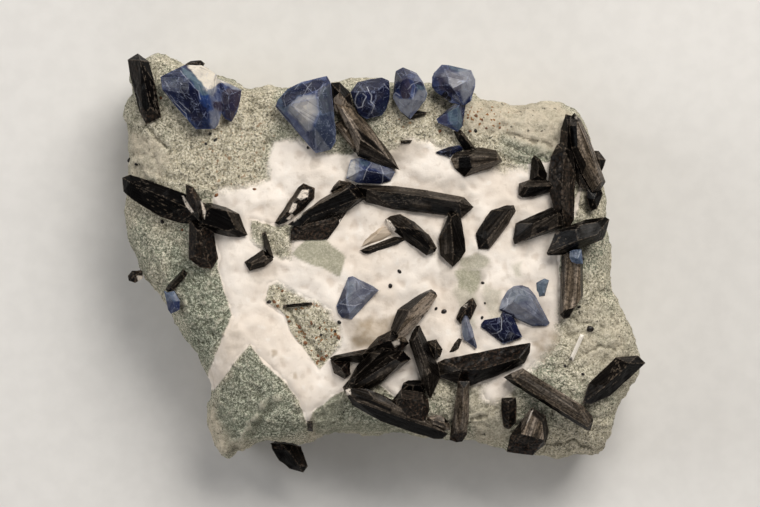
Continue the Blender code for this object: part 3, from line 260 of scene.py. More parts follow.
# The underside becomes one flat face, and the top gets a finer net.
pick_faces(rock, face_values(rock, "center")[:, 2] < 0.30 * MM)
bpy.ops.mesh.dissolve_faces()
bpy.ops.object.mode_set(mode='OBJECT')
top = (face_values(rock, "normal")[:, 2] > 0.35) & (face_values(rock, "center")[:, 2] > 15.0 * MM)
pick_faces(rock, top)
bpy.ops.mesh.subdivide(number_cuts=1)
bpy.ops.object.mode_set(mode='OBJECT')

# The drawing of the specimen has its own origin; this shift brings it to the middle of the box.
DRAWING_SHIFT = (-0.05, 0.10)


def plan_of(piece):
    """Where every point of a piece lies on the drawing, in millimetres."""
    return points_of(piece)[:, :2] / MM - DRAWING_SHIFT


def reach(plan, outline):
    """How far inside an outline each point lies, in millimetres, and less than 0 outside it."""
    x, y = plan[:, 0], plan[:, 1]
    within = np.zeros(len(x), bool)
    for (x0, y0), (x1, y1) in zip(outline, outline[1:] + outline[:1]):
        if y0 != y1:
            within ^= ((y0 > y) != (y1 > y)) & (x < x0 + (y - y0) * (x1 - x0) / (y1 - y0))
    away = line_distance(plan, outline + outline[:1])
    return np.where(within, away, -away)


def line_distance(plan, line):
    """The distance of each point to a line of straight runs, in millimetres."""
    x, y = plan[:, 0], plan[:, 1]
    nearest = np.full(len(x), np.inf)
    for (x0, y0), (x1, y1) in zip(line, line[1:]):
        along_x, along_y = x1 - x0, y1 - y0
        share = ((x - x0) * along_x + (y - y0) * along_y) / (along_x ** 2 + along_y ** 2)
        share = np.clip(share, 0.0, 1.0)
        nearest = np.minimum(nearest, np.hypot(x - x0 - share * along_x, y - y0 - share * along_y))
    return nearest


def wander(plan, size, seed):
    """Smooth noise between about -1 and 1 over the drawing."""
    return np.array([noise.noise((x / size, y / size, seed)) for x, y in plan]) * 1.8


def paint(piece, name, values):
    """Keep a value on each point of a piece, for its material."""
    made = piece.data.attributes.new(name, 'FLOAT', 'POINT')
    made.data.foreach_set("value", np.asarray(values, np.float32))


def area_share(plan, areas):
    """How much each point belongs to soft-edged areas: rows of strength, softness and outline."""
    share = np.zeros(len(plan))
    for strength, softness, outline in areas:
        inside = soft_step(reach(plan, outline), -0.5 * softness, 0.5 * softness)
        share = np.maximum(share, strength * inside)
    return share


NATROLITE_EDGE = [
    (-28.8, 25.4), (-27.0, 29.9), (-20.8, 30.9), (-16.8, 27.9), (-9.5, 26.6), (3.0, 27.9),
    (5.5, 30.9), (11.8, 30.4), (15.5, 27.9), (29.3, 23.4), (36.8, 24.1), (41.8, 24.9), (43.8, 11.6),
    (44.3, 2.9), (44.3, -14.6), (43.3, -20.9), (36.8, -27.6), (29.3, -30.9), (21.8, -30.9),
    (14.3, -29.1), (4.3, -27.9), (-3.3, -28.6), (-12.0, -33.4), (-17.8, -37.6), (-18.8, -40.9),
    (-21.3, -34.6), (-24.5, -30.1), (-30.3, -25.1), (-33.3, -20.6), (-36.3, -24.4), (-38.8, -27.8),
    (-42.3, -32.3), (-43.8, -32.6), (-44.2, -28.6), (-42.3, -24.3), (-40.6, -20.0), (-37.8, -13.4), (-40.3, -5.9), (-41.3, -0.1),
    (-42.3, 5.4), (-42.5, 15.4), (-39.5, 17.9), (-33.3, 19.1), (-28.3, 20.4),
]
SANDY_ISLAND = [
    (-28.3, -5.9), (-26.5, -5.6), (-20.3, -8.9), (-16.5, -10.4), (-13.3, -12.6), (-10.8, -17.1),
    (-10.8, -20.9), (-15.8, -26.9), (-20.3, -21.1), (-23.0, -17.6), (-24.5, -13.4), (-29.5, -9.6),
]
GRAVEL_PATCH = [
    (-33.0, 10.4), (-27.0, 9.1), (-22.5, 8.6), (-23.3, 0.4), (-26.0, 1.1), (-30.5, 3.4), (-32.8, 5.9),
]

# Natrolite also lies in small patches beyond its edge, and fades out over these stretches.
NATROLITE_PATCHES = [
    [(24.2, -31.6), (26.8, -29.1), (31.2, -28.1), (33.2, -30.1), (31.8, -33.1), (27.8, -35.6), (25.0, -34.6)],
    [(47.5, 11.4), (48.2, 16.4), (49.8, 20.9), (50.5, 20.4), (49.5, 15.4), (48.5, 11.1)],
    [(-0.8, -30.9), (3.2, -27.1), (8.0, -24.9), (10.0, -28.9), (7.2, -32.6), (4.2, -34.9)],
]
FADING = [
    (1.3, 4.0, [(-30.2, 30.4), (-20.8, 34.4), (-9.5, 30.4), (-8.2, 27.4), (-20.8, 23.4), (-30.2, 22.4), (-31.8, 25.4)]),
    (3.2, 4.0, [(-2.8, 33.4), (19.2, 33.4), (23.8, 25.4), (39.2, 22.9), (41.2, 16.4), (36.8, 14.4), (29.2, 18.9), (14.2, 23.9),
                (-2.8, 25.9)]),
    (2.4, 4.0, [(-40.2, 21.4), (-30.2, 27.4), (-28.2, 22.9), (-30.2, 17.4), (-37.8, 14.4), (-42.2, 16.4)]),
    (3.4, 5.0, [(34.2, -14.6), (46.8, -9.6), (55.2, -9.6), (55.8, -24.6), (44.2, -32.6), (34.2, -27.6)]),
    (2.6, 4.0, [(21.8, -26.6), (34.2, -25.6), (36.8, -32.6), (29.2, -37.1), (22.8, -35.6)]),
    (1.6, 2.0, [(-30.2, -2.1), (-23.2, -0.1), (-20.8, -5.6), (-10.8, -12.1), (-8.2, -20.9), (-13.2, -22.6), (-15.2, -14.6), (-25.8, -7.1)]),
    (1.8, 2.0, [(-34.8, 7.4), (-20.8, 7.4), (-20.8, -0.1), (-33.2, -0.1)]),
]


def natrolite_cover(plan):
    """How far inside the natrolite each point lies, in millimetres, with uneven edges."""
    cover = reach(plan, NATROLITE_EDGE)
    for window in (SANDY_ISLAND, GRAVEL_PATCH):
        cover = np.minimum(cover, -reach(plan, window))
    for patch in NATROLITE_PATCHES:
        cover = np.maximum(cover, reach(plan, patch))
    uneven = 0.25 + 0.75 * soft_step(plan[:, 1], -2.0, 14.0)
    return cover + uneven * (0.55 * wander(plan, 4.0, 3.0) + 0.25 * wander(plan, 1.4, 8.0))


# The natrolite is cut out of the slab's top before the rock is roughened, because it lies on it.
cover = natrolite_cover(plan_of(rock))
corner_cover = np.array([cover[list(face.vertices)].max() for face in rock.data.polygons])
under = (face_values(rock, "normal")[:, 2] > 0.35) & (face_values(rock, "center")[:, 2] > 15.0 * MM)
pick_faces(rock, under & (corner_cover > -1.2))
bpy.ops.mesh.duplicate()
bpy.ops.mesh.separate(type='SELECTED')
bpy.ops.object.mode_set(mode='OBJECT')
natrolite = [thing for thing in bpy.context.selected_objects if thing != rock][0]
natrolite.name = "natrolite_layer"
for piece in (rock, natrolite):
    piece.vertex_groups.clear()

# The bare stone is lumpy and grainy, and sinks a little where the natrolite hides it.
plan = plan_of(rock)
points = points_of(rock)
on_top = soft_step(points[:, 2], 15.0 * MM, 19.0 * MM)
cover = natrolite_cover(plan)
bare = 1.0 - on_top * soft_step(cover, -0.3, 1.6)
above = limit_group(rock, "above_the_underside", soft_step(points[:, 2], 0.6 * MM, 2.5 * MM) * bare)
shaped(rock, 'DISPLACE', strength=1.7 * MM, mid_level=0.58, texture_coords='LOCAL',
       texture=relief('CLOUDS', 6.0 * MM, noise_depth=4), vertex_group=above)
shaped(rock, 'DISPLACE', strength=0.95 * MM, mid_level=0.5, texture_coords='LOCAL',
       texture=relief('CLOUDS', 1.5 * MM, noise_depth=2), vertex_group=above)
rock.vertex_groups.clear()

# Cracks, hollows and ledges: rows of depth, half width and line. A ledge has a depth below 0.
CRACKS = [
    (0.9, 0.45, [(-59.2, 33.9), (-57.8, 32.9), (-55.8, 29.9), (-53.2, 27.4)]),
    (0.7, 0.5, [(29.2, 29.9), (34.2, 27.9), (39.2, 25.9), (43.2, 25.4)]),
    (0.7, 0.4, [(30.8, 32.4), (36.8, 30.4), (42.2, 28.9)]),
    (0.5, 0.4, [(32.2, 25.4), (37.2, 24.4), (40.8, 25.4)]),
    (0.8, 0.5, [(21.2, -40.4), (22.8, -39.4), (25.8, -38.9)]),
    (0.8, 0.5, [(38.8, -44.9), (43.2, -46.1), (47.8, -44.6), (53.2, -47.6), (57.2, -46.1)]),
    (0.6, 0.5, [(44.2, -49.1), (49.2, -50.1), (54.2, -49.6)]),
    (-0.7, 1.1, [(-37.5, -48.6), (-35.2, -43.6), (-32.8, -39.6), (-29.8, -35.1), (-26.2, -33.9)]),
    (0.6, 1.0, [(-35.8, -48.9), (-33.5, -44.1), (-30.8, -40.1), (-28.2, -37.1)]),
    (0.3, 0.5, [(-46.8, -9.6), (-44.8, -13.6), (-42.8, -17.1), (-41.8, -20.6)]),
    (0.7, 0.5, [(17.2, -31.6), (19.8, -34.1), (21.2, -37.6)]),
    (0.6, 0.4, [(44.2, -12.6), (49.2, -15.1), (55.2, -16.1)]),
    (0.7, 0.4, [(50.8, -22.6), (54.2, -21.1), (58.2, -22.1)]),
    (0.6, 0.4, [(-60.8, 39.4), (-58.2, 37.4), (-56.8, 33.9)]),
    (-0.5, 0.9, [(-65.8, 36.4), (-62.2, 34.9), (-58.2, 33.9)]),
    (0.5, 0.9, [(-46.2, 32.6), (-43.2, 31.9), (-40.8, 33.4), (-39.2, 35.9)]),
    (0.8, 0.45, [(-25.0, -9.6), (-22.2, -14.1), (-19.8, -18.1), (-16.2, -22.6), (-14.2, -26.1)]),
    (0.4, 0.7, [(57.2, -9.6), (58.8, -19.6), (61.2, -26.1)]),
]
plan = plan_of(rock)
points = points_of(rock)
for depth, width, line in CRACKS:
    bent = plan + 0.35 * np.column_stack([wander(plan, 1.8, 40.0), wander(plan, 1.8, 50.0)])
    carved = depth * np.exp(-(line_distance(bent, line) / width) ** 2)
    points[:, 2] -= carved * MM * on_top
points[:, 2] -= 0.35 * MM * on_top * soft_step(cover, 0.6, 2.0)
move_points(rock, points)
clear_selection()
bpy.context.view_layer.objects.active = rock
rock.select_set(True)
bpy.ops.object.shade_smooth()

# What the stone looks like from place to place: rows of strength, softness and outline.
STONE_AREAS = {
    "dark": [
        (1.0, 3.0, [(-52.8, 5.4), (-46.8, -0.1), (-38.8, -5.9), (-35.8, -10.1), (-37.2, -15.1), (-39.2, -18.6), (-42.8, -22.6), (-44.2, -27.6),
                    (-48.2, -22.1), (-49.2, -9.6), (-54.2, -2.6)]),
        (0.9, 2.5, [(-33.2, -21.1), (-30.2, -22.6), (-23.2, -32.6), (-18.8, -41.6), (-19.8, -42.6), (-30.2, -45.1), (-37.8, -44.6),
                    (-41.8, -39.6), (-41.2, -32.6), (-36.2, -25.1)]),
        (0.8, 2.0, [(-17.8, -35.6), (-10.8, -32.6), (-3.2, -38.6), (9.2, -42.6), (6.8, -44.1), (-8.2, -43.1), (-16.8, -43.6)]),
        (0.2, 3.0, [(-64.5, 7.4), (-58.2, 7.9), (-50.8, 8.9), (-49.2, 2.9), (-53.2, -2.1), (-60.8, 0.4)]),
        (0.5, 2.5, [(-28.2, 33.4), (-21.8, 35.9), (-19.2, 30.9), (-22.8, 29.4), (-28.8, 28.9)]),
        (0.6, 2.0, [(-11.8, 31.4), (-7.8, 31.9), (-8.2, 25.9), (-9.8, 25.4)]),
        (0.6, 2.0, [(29.2, 31.4), (43.2, 27.9), (44.2, 23.4), (34.2, 23.9), (28.2, 27.9)]),
    ],
    "sand": [
        (0.9, 3.0, [(34.2, -44.1), (54.2, -39.1), (59.8, -43.6), (54.8, -50.1), (39.2, -50.1)]),
        (1.0, 3.0, [(-51.8, 30.4), (-45.8, 32.4), (-36.2, 42.9), (-26.8, 43.4), (-26.8, 31.4), (-30.2, 26.4), (-31.2, 18.9), (-37.8, 14.9),
                    (-48.2, 18.9), (-56.2, 20.4), (-55.8, 25.4)]),
        (1.0, 3.0, [(0.2, 37.9), (14.2, 39.4), (23.2, 39.4), (29.2, 32.9), (34.2, 24.4), (37.8, 17.9), (23.8, 22.4), (14.2, 25.9),
                    (4.2, 27.9)]),
        (0.8, 1.0, [(-28.8, -5.6), (-20.8, -8.6), (-10.8, -12.6), (-9.8, -19.6), (-15.8, -27.6), (-20.8, -22.6), (-25.2, -13.6)]),
    ],
    "smooth": [
        (0.45, 3.0, [(53.2, -9.6), (59.2, -14.6), (62.8, -24.6), (59.2, -34.6), (53.2, -29.6), (44.2, -17.1)]),
        (0.8, 3.0, [(18.8, 40.9), (30.8, 40.4), (32.8, 32.9), (23.8, 31.9), (18.2, 35.4)]),
        (0.4, 4.0, [(-44.8, -34.6), (-36.8, -37.1), (-35.8, -48.6), (-41.8, -50.1)]),
        (0.55, 2.2, [(-37.5, -49.4), (-34.8, -42.1), (-30.8, -35.1), (-26.0, -33.4), (-24.5, -35.4), (-28.8, -36.4), (-32.8, -43.1), (-35.8, -49.1)]),
        (0.7, 1.5, [(-44.2, -37.6), (-42.2, -35.6), (-40.8, -40.6), (-38.8, -47.6), (-41.2, -49.1), (-43.8, -43.6)]),
        (0.6, 1.0, [(-17.2, -35.1), (-10.8, -32.6), (-9.2, -35.6), (-15.2, -42.6), (-18.8, -42.1)]),
        (0.8, 2.5, [(-63.8, 33.4), (-55.8, 30.4), (-52.8, 25.4), (-55.8, 20.9), (-63.8, 18.9)]),
        (0.9, 3.0, [(25.2, 39.4), (44.2, 40.4), (50.2, 33.9), (47.2, 25.4), (36.8, 27.9), (28.8, 32.4), (23.8, 34.9)]),
        (0.6, 3.0, [(-18.2, -39.6), (-5.8, -39.6), (14.2, -44.6), (11.8, -46.1), (-10.8, -44.6), (-19.2, -44.6)]),
        (0.6, 2.0, [(21.8, -27.6), (29.2, -28.6), (34.2, -34.6), (32.2, -44.6), (23.2, -45.6), (21.8, -35.6)]),
    ],
    "rust": [
        (1.0, 2.0, [(19.8, 40.9), (30.8, 40.4), (32.8, 32.9), (23.8, 31.9), (18.2, 35.4)]),
        (1.0, 1.0, [(-28.8, -5.6), (-20.8, -8.6), (-10.8, -12.6), (-9.8, -19.6), (-15.8, -27.6), (-20.8, -22.6), (-25.2, -13.6)]),
        (0.6, 3.0, [(-44.2, 33.4), (-28.2, 38.4), (-26.8, 22.9), (-35.8, 16.4), (-49.2, 17.9)]),
        (0.7, 2.0, [(0.2, 36.4), (12.8, 36.4), (13.2, 30.4), (1.2, 29.9)]),
    ],
    "green": [
        (1.0, 0.5, [(-21.2, 4.1), (-19.0, 6.6), (-16.2, 7.1), (-14.0, 5.6), (-10.8, 2.4), (-9.8, 1.1), (-10.0, -0.9), (-10.8, -3.9),
                    (-12.8, -2.9), (-17.0, -1.1), (-21.2, 0.6), (-22.5, 1.6)]),
        (0.75, 0.8, [(18.8, -0.1), (20.8, 1.6), (23.8, 2.0), (26.5, 1.4), (27.0, 0.1), (25.5, -1.6), (21.8, -1.9),
                     (19.2, -1.4)]),
        (1.0, 1.2, [(18.0, -2.1), (21.8, -1.6), (24.5, -2.1), (24.2, -4.6), (23.8, -7.1), (21.8, -8.6), (19.2, -6.6),
                    (18.0, -4.1)]),
        (0.55, 1.6, [(25.2, -5.6), (29.2, -7.6), (29.8, -13.6), (27.2, -15.1), (24.8, -10.6)]),
        (0.6, 1.6, [(32.5, -0.6), (34.5, -0.4), (35.0, -3.6), (33.0, -3.9)]),
        (0.6, 2.0, [(18.0, -6.1), (23.2, -6.6), (23.2, -17.1), (20.8, -14.6), (18.2, -9.6)]),
    ],
    "brown": [
        (0.28, 4.0, [(-37.8, -14.1), (-34.2, -18.6), (-34.2, -21.6), (-38.8, -27.6), (-42.8, -32.6), (-45.2, -27.6), (-41.8, -20.6)]),
        (0.55, 3.0, [(-4.8, -14.1), (5.2, -12.6), (7.2, -17.1), (0.2, -22.6), (-8.8, -21.1), (-7.8, -16.6)]),
        (0.5, 1.0, [(-28.0, -22.1), (-26.8, -22.1), (-26.5, -23.6), (-27.8, -23.9)]),
        (0.5, 1.0, [(-23.0, -27.1), (-21.5, -27.4), (-21.5, -29.4), (-23.0, -29.4)]),
        (0.35, 1.0, [(-26.2, -24.1), (-24.8, -24.1), (-24.2, -25.6), (-25.8, -25.6)]),
        (0.4, 3.0, [(36.8, -17.1), (54.2, -17.1), (55.2, -22.6), (44.2, -27.6), (37.2, -24.6)]),
    ],
    # Grey patches on the natrolite: grey mottling, and painted shade beside the left neptunite cluster and along the
    # top edge of the natrolite.
    "grey": [
        (0.5, 2.0, [(18.6, 0.4), (23.8, 2.4), (27.6, 1.2), (27.0, -2.1), (25.2, -5.6), (22.6, -9.0), (19.4, -7.6),
                    (17.6, -3.6)]),
        (0.3, 2.4, [(-40.2, 6.9), (-37.2, 6.4), (-35.8, 2.9), (-36.8, -1.1), (-39.2, -0.1)]),
        (0.5, 1.6, [(-33.2, -1.1), (-27.2, -0.1), (-26.2, -3.6), (-31.2, -6.1), (-33.8, -4.6)]),
        (0.55, 1.2, [(-19.2, 23.9), (-17.8, 26.4), (-15.2, 25.9), (-15.2, 23.4), (-17.8, 22.4)]),
        (0.55, 1.0, [(-14.2, 28.4), (-12.2, 28.9), (-11.8, 26.4), (-13.8, 25.9)]),
        (0.5, 1.0, [(-21.8, 21.4), (-19.2, 21.9), (-18.2, 19.4), (-20.8, 18.9)]),
        (0.5, 1.2, [(-10.8, 25.4), (-8.2, 26.4), (-8.2, 22.4), (-10.2, 21.9)]),
        (0.2, 2.0, [(-27.2, 29.9), (-22.8, 29.9), (-23.2, 27.4), (-26.8, 26.9)]),
        (0.6, 2.5, [(0.2, 29.9), (9.2, 29.9), (11.2, 25.9), (4.2, 24.4), (0.8, 25.4)]),
        (0.4, 2.5, [(11.8, 21.4), (19.2, 20.4), (24.2, 16.4), (21.8, 12.9), (14.2, 16.4)]),
        (0.35, 2.5, [(33.2, 5.4), (41.2, 5.4), (42.2, -0.1), (34.2, 0.9)]),
        (0.55, 2.0, [(30.8, -17.1), (41.2, -14.6), (45.8, -19.6), (43.2, -26.1), (37.8, -21.1)]),
        (0.5, 2.0, [(13.2, 2.9), (19.8, 2.9), (18.8, -6.1), (14.2, -7.1)]),
        (0.6, 2.0, [(-10.8, -14.6), (-4.2, -13.6), (0.2, -19.1), (-8.2, -22.6)]),
    ],
}


def proud_of(piece, rounds):
    """How far each point stands above the points round it, in millimetres."""
    ends = np.empty(len(piece.data.edges) * 2, np.int32)
    piece.data.edges.foreach_get("vertices", ends)
    here, there = ends[0::2], ends[1::2]
    level = points_of(piece)[:, 2] / MM
    count = 1.0 + np.bincount(ends, minlength=len(level))
    around = level
    for _ in range(rounds):
        total = around + np.bincount(here, around[there], len(level))
        around = (total + np.bincount(there, around[here], len(level))) / count
    return level - around


def paint_stone(piece):
    """The natrolite's cover and its fading, and the look of the stone, on a piece's points."""
    plan = plan_of(piece)
    # How far each point stands out, which the ground turns into painted shade in hollows and a painted highlight on
    # bumps.
    paint(piece, "proud", np.clip(proud_of(piece, 8), -0.6, 0.6))
    paint(piece, "cover", np.clip(natrolite_cover(plan), -6.0, 6.0))
    paint(piece, "fading", 0.45 + area_share(plan, FADING))
    bent = plan + 0.5 * np.column_stack([wander(plan, 3.0, 60.0), wander(plan, 3.0, 70.0)])
    for name, areas in STONE_AREAS.items():
        paint(piece, name, area_share(bent, areas))


def maths(tree, operation, first, second=0.0):
    """The result of one sum on two values."""
    made = tree.nodes.new("ShaderNodeMath")
    made.operation = operation
    for socket, value in zip(made.inputs, (first, second)):
        if isinstance(value, bpy.types.NodeSocket):
            tree.links.new(value, socket)
        else:
            socket.default_value = value
    return made.outputs[0]


def painted(tree, name):
    """A value that is painted on the piece's own points or faces."""
    return add(tree, "Attribute", {"attribute_name": name}).outputs["Fac"]


def group(name, inputs, outputs):
    """An empty node group with named inputs and outputs, its entry and its exit."""
    tree = bpy.data.node_groups.new(name, "ShaderNodeTree")
    for label, kind in inputs:
        tree.interface.new_socket(label, in_out='INPUT', socket_type="NodeSocket" + kind)
    for label, kind in outputs:
        tree.interface.new_socket(label, in_out='OUTPUT', socket_type="NodeSocket" + kind)
    return tree, tree.nodes.new("NodeGroupInput").outputs, tree.nodes.new("NodeGroupOutput").inputs


def placed(tree, effect, **sockets):
    """A node group placed in a material."""
    made = tree.nodes.new("ShaderNodeGroup")
    made.node_tree = effect
    for key, value in sockets.items():
        socket = made.inputs[key.replace("_", " ")]
        if isinstance(value, bpy.types.NodeSocket):
            tree.links.new(value, socket)
        else:
            socket.default_value = value
    return made.outputs


def shifted(tree, where, distance):
    """The same coordinates moved aside, for a pattern that doesn't repeat another one."""
    return add(tree, "Mapping", None, Vector=where, Location=(distance, distance, distance)).outputs[0]


# The ground is shared by the rock and the natrolite, so that one runs into the other unseen: salt
# and pepper stone, milky natrolite, and the line between them.
ground, entry, leave = group("ground", [
    ("Vector", "Vector"), ("Cover", "Float"), ("Fading", "Float"), ("Dark", "Float"), ("Sand", "Float"),
    ("Smooth", "Float"), ("Proud", "Float"), ("Rust", "Float"), ("Green", "Float"), ("Brown", "Float"), ("Grey", "Float")],
    [("Color", "Color"), ("Milk", "Float"), ("Height", "Float")])
tree = ground
where = entry["Vector"]
broad = add(tree, "TexNoise", None, Vector=where, Scale=90.0, Detail=3.0).outputs["Fac"]
medium = add(tree, "TexNoise", None, Vector=where, Scale=400.0, Detail=3.0).outputs["Fac"]
grain = add(tree, "TexNoise", None, Vector=where, Scale=1900.0, Detail=3.0, Roughness=0.8)
grain = grain.outputs["Fac"]
pepper = add(tree, "TexNoise", None, Vector=shifted(tree, where, 0.3), Scale=1700.0, Detail=3.0, Roughness=0.8)
pepper = pepper.outputs["Fac"]
spots = add(tree, "TexNoise", None, Vector=shifted(tree, where, 0.7), Scale=1050.0, Detail=1.0)
spots = spots.outputs["Fac"]

stone = tinted(tree, rise(tree, broad, 0.38, 0.62), colour(172, 165, 143), colour(146, 149, 130))
stone = tinted(tree, entry["Sand"], stone, colour(186, 176, 152))
stone = tinted(tree, entry["Smooth"], stone, colour(202, 189, 168))
stone = tinted(tree, entry["Dark"], stone, colour(114, 119, 102))
stone = tinted(tree, rise(tree, medium, 0.60, 0.36, 0.0, 0.30), stone, colour(134, 132, 112))
calm = maths(tree, 'SUBTRACT', 1.0, maths(tree, 'MULTIPLY', entry["Smooth"], 0.8))
salt = maths(tree, 'MULTIPLY', rise(tree, grain, 0.505, 0.55), maths(tree, 'MULTIPLY', calm, 0.9))
light_grain = tinted(tree, entry["Dark"], colour(230, 221, 200), colour(204, 204, 184))
stone = tinted(tree, salt, stone, light_grain)
dark_grain = maths(tree, 'MULTIPLY', rise(tree, pepper, 0.48, 0.43), maths(tree, 'MULTIPLY', calm, 0.75))
stone = tinted(tree, dark_grain, stone, colour(62, 60, 46))
# Painted shade in the hollows and a painted highlight on the bumps, by how far each point stands out; the dark stone
# gets less of the shade.
even = maths(tree, 'SUBTRACT', 1.0, maths(tree, 'MULTIPLY', entry["Dark"], 0.45))
sunk = maths(tree, 'MULTIPLY', rise(tree, entry["Proud"], -0.03, -0.32, 0.0, 0.55), even)
stone = tinted(tree, sunk, stone, colour(86, 80, 64))
painted_bump_highlight = rise(tree, entry["Proud"], 0.04, 0.32, 0.0, 0.35)
stone = tinted(tree, painted_bump_highlight, stone, colour(222, 212, 192))
rusty = maths(tree, 'MULTIPLY', rise(tree, spots, 0.665, 0.70), entry["Rust"])
stone = tinted(tree, rusty, stone, colour(140, 100, 62))
black = maths(tree, 'MULTIPLY', rise(tree, spots, 0.30, 0.27), 0.7)
stone = tinted(tree, black, stone, colour(34, 32, 26))

milk = tinted(tree, rise(tree, broad, 0.35, 0.65), colour(226, 213, 199), colour(236, 226, 215))
milk = tinted(tree, rise(tree, medium, 0.44, 0.30, 0.0, 0.45), milk, colour(196, 182, 166))
milk = tinted(tree, rise(tree, medium, 0.60, 0.72, 0.0, 0.4), milk, colour(246, 240, 232))
# Painted shade in the hollows of the natrolite.
milk = tinted(tree, rise(tree, entry["Proud"], -0.01, -0.16, 0.0, 0.6), milk, colour(198, 182, 166))
cloudy = maths(tree, 'ADD', maths(tree, 'MULTIPLY', medium, 0.8), -0.4)
# The grey patches: grey mottling, and painted shade beside the left neptunite cluster and along the natrolite's top
# edge.
grey = rise(tree, maths(tree, 'ADD', entry["Grey"], cloudy), 0.15, 0.85, 0.0, 0.8)
milk = tinted(tree, grey, milk, colour(164, 152, 138))
brown = rise(tree, maths(tree, 'ADD', entry["Brown"], cloudy), 0.1, 0.8, 0.0, 0.8)
milk = tinted(tree, brown, milk, colour(150, 130, 102))
flecked = tinted(tree, rise(tree, grain, 0.45, 0.6), colour(150, 147, 126), colour(178, 172, 152))
milk = tinted(tree, maths(tree, 'MULTIPLY', entry["Green"], 0.95), milk, flecked)

fringe = maths(tree, 'ADD', maths(tree, 'MULTIPLY', grain, 0.8), maths(tree, 'MULTIPLY', medium, 1.2))
depth = maths(tree, 'DIVIDE', entry["Cover"], entry["Fading"])
share = rise(tree, maths(tree, 'ADD', depth, maths(tree, 'SUBTRACT', fringe, 1.0)), -0.5, 0.6)
tree.links.new(tinted(tree, share, stone, milk), leave["Color"])
tree.links.new(share, leave["Milk"])
rough = maths(tree, 'ADD', maths(tree, 'MULTIPLY', grain, 0.7), maths(tree, 'MULTIPLY', pepper, 0.5))
lessened = maths(tree, 'SUBTRACT', 1.0, maths(tree, 'MULTIPLY', share, 0.75))
tree.links.new(maths(tree, 'MULTIPLY', rough, lessened), leave["Height"])


def ground_finish(name, roughness):
    """The ground's colours and grain on one piece."""
    material, tree, shader, where = new_material(name, roughness, Specular_IOR_Level=0.25)
    labels = ("Cover", "Fading", "Dark", "Sand", "Smooth", "Proud", "Rust", "Green", "Brown", "Grey")
    looks = placed(tree, ground, Vector=where, **{s: painted(tree, s.lower()) for s in labels})
    tree.links.new(looks["Color"], shader.inputs["Base Color"])
    bump = add(tree, "Bump", None, Strength=0.9, Distance=0.0005, Height=looks["Height"])
    tree.links.new(bump.outputs["Normal"], shader.inputs["Normal"])
    return material


paint_stone(rock)
rock.data.materials.append(ground_finish("grey_green_stone", 0.9))
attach(rock, "root")
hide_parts("matrix_rock")


# The natrolite: a milky white layer on the middle of the slab, a millimetre or two thick, that
# thins out to nothing at its edges. It is a skin taken from the slab's top, swollen in its middle,
# softened and closed underneath.
plan = plan_of(natrolite)
cover = natrolite_cover(plan)
points = points_of(natrolite)
swell = -0.75 + 0.95 * soft_step(cover, -1.2, 1.4) + 0.25 * soft_step(cover, 1.0, 6.0)
points[:, 2] += swell * MM + 0.38 * MM * wander(plan, 5.0, 21.0) * soft_step(cover, 0.0, 3.0)
points[:, 2] += 0.13 * MM * wander(plan, 2.0, 5.0) * soft_step(cover, 0.0, 2.0)
move_points(natrolite, points)
paint_stone(natrolite)
shaped(natrolite, 'SOLIDIFY', thickness=0.9 * MM, offset=-1.0)
clear_selection()
bpy.context.view_layer.objects.active = natrolite
natrolite.select_set(True)
bpy.ops.object.shade_smooth()
milk = ground_finish("milky_natrolite", 0.6)
natrolite.data.materials.append(milk)
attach(natrolite, "root")
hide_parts("natrolite_crust")


# The neptunite: black prisms and blades, single or grown together, each a cut copy of its solid.
# Their faces are black glass; a brownish grey is painted on the faces that would catch the light, a
# painted reflection streaked along the crystal. Some are pitted and broken. Edges are worn and chipped.
def convex_edges(mesh):
    """The edges of a mesh where two faces meet outwards."""
    sides = {}
    for face in mesh.polygons:
        for key in face.edge_keys:
            sides.setdefault(key, []).append(face)
    found = []
    for edge in mesh.edges:
        pair = sides[edge.key]
        if len(pair) == 2 and pair[0].normal.dot(pair[1].center - pair[0].center) < -1e-6:
            if pair[0].normal.angle(pair[1].normal) > math.radians(12.0):
                found.append(edge.index)
    return found


# Faces whose normal points down by more than this lie underneath, out of sight.
UNDERSIDE = -0.15


def split_edges(piece, spacing):
    """Halve the long edges of a piece until none is longer than the spacing, or 4 times it below."""
    shaped(piece, 'TRIANGULATE')
    for _ in range(14):
        spots = points_of(piece)
        ends = np.empty(len(piece.data.edges) * 2, np.int32)
        piece.data.edges.foreach_get("vertices", ends)
        ends = ends.reshape(-1, 2)
        sides = np.empty(len(piece.data.loops), np.int32)
        piece.data.loops.foreach_get("edge_index", sides)
        upward = np.full(len(ends), -1.0)
        np.maximum.at(upward, sides, np.repeat(face_values(piece, "normal")[:, 2], 3))
        allowed = np.where(upward < UNDERSIDE, 4.0, 1.0) * spacing * MM
        longer = np.linalg.norm(spots[ends[:, 0]] - spots[ends[:, 1]], axis=1) > allowed
        if not longer.any():
            break
        clear_selection()
        bpy.context.view_layer.objects.active = piece
        piece.select_set(True)
        bpy.ops.object.mode_set(mode='EDIT')
        bpy.ops.mesh.select_mode(type='EDGE')
        bpy.ops.mesh.select_all(action='DESELECT')
        bpy.ops.object.mode_set(mode='OBJECT')
        piece.data.edges.foreach_set("select", longer)
        bpy.ops.object.mode_set(mode='EDIT')
        bpy.ops.mesh.subdivide(number_cuts=1)
        bpy.ops.mesh.select_all(action='SELECT')
        bpy.ops.mesh.quads_convert_to_tris()
        bpy.ops.object.mode_set(mode='OBJECT')


def keep_on_faces(piece, name, values):
    """Keep a value on each flat face; the small faces it is split into inherit it."""
    made = piece.data.attributes.new(name, 'FLOAT', 'FACE')
    made.data.foreach_set("value", np.asarray(values, np.float32))


def read_faces(piece, name):
    """The value kept on each small face."""
    flat = np.empty(len(piece.data.polygons), np.float32)
    piece.data.attributes[name].data.foreach_get("value", flat)
    return flat.astype(float)


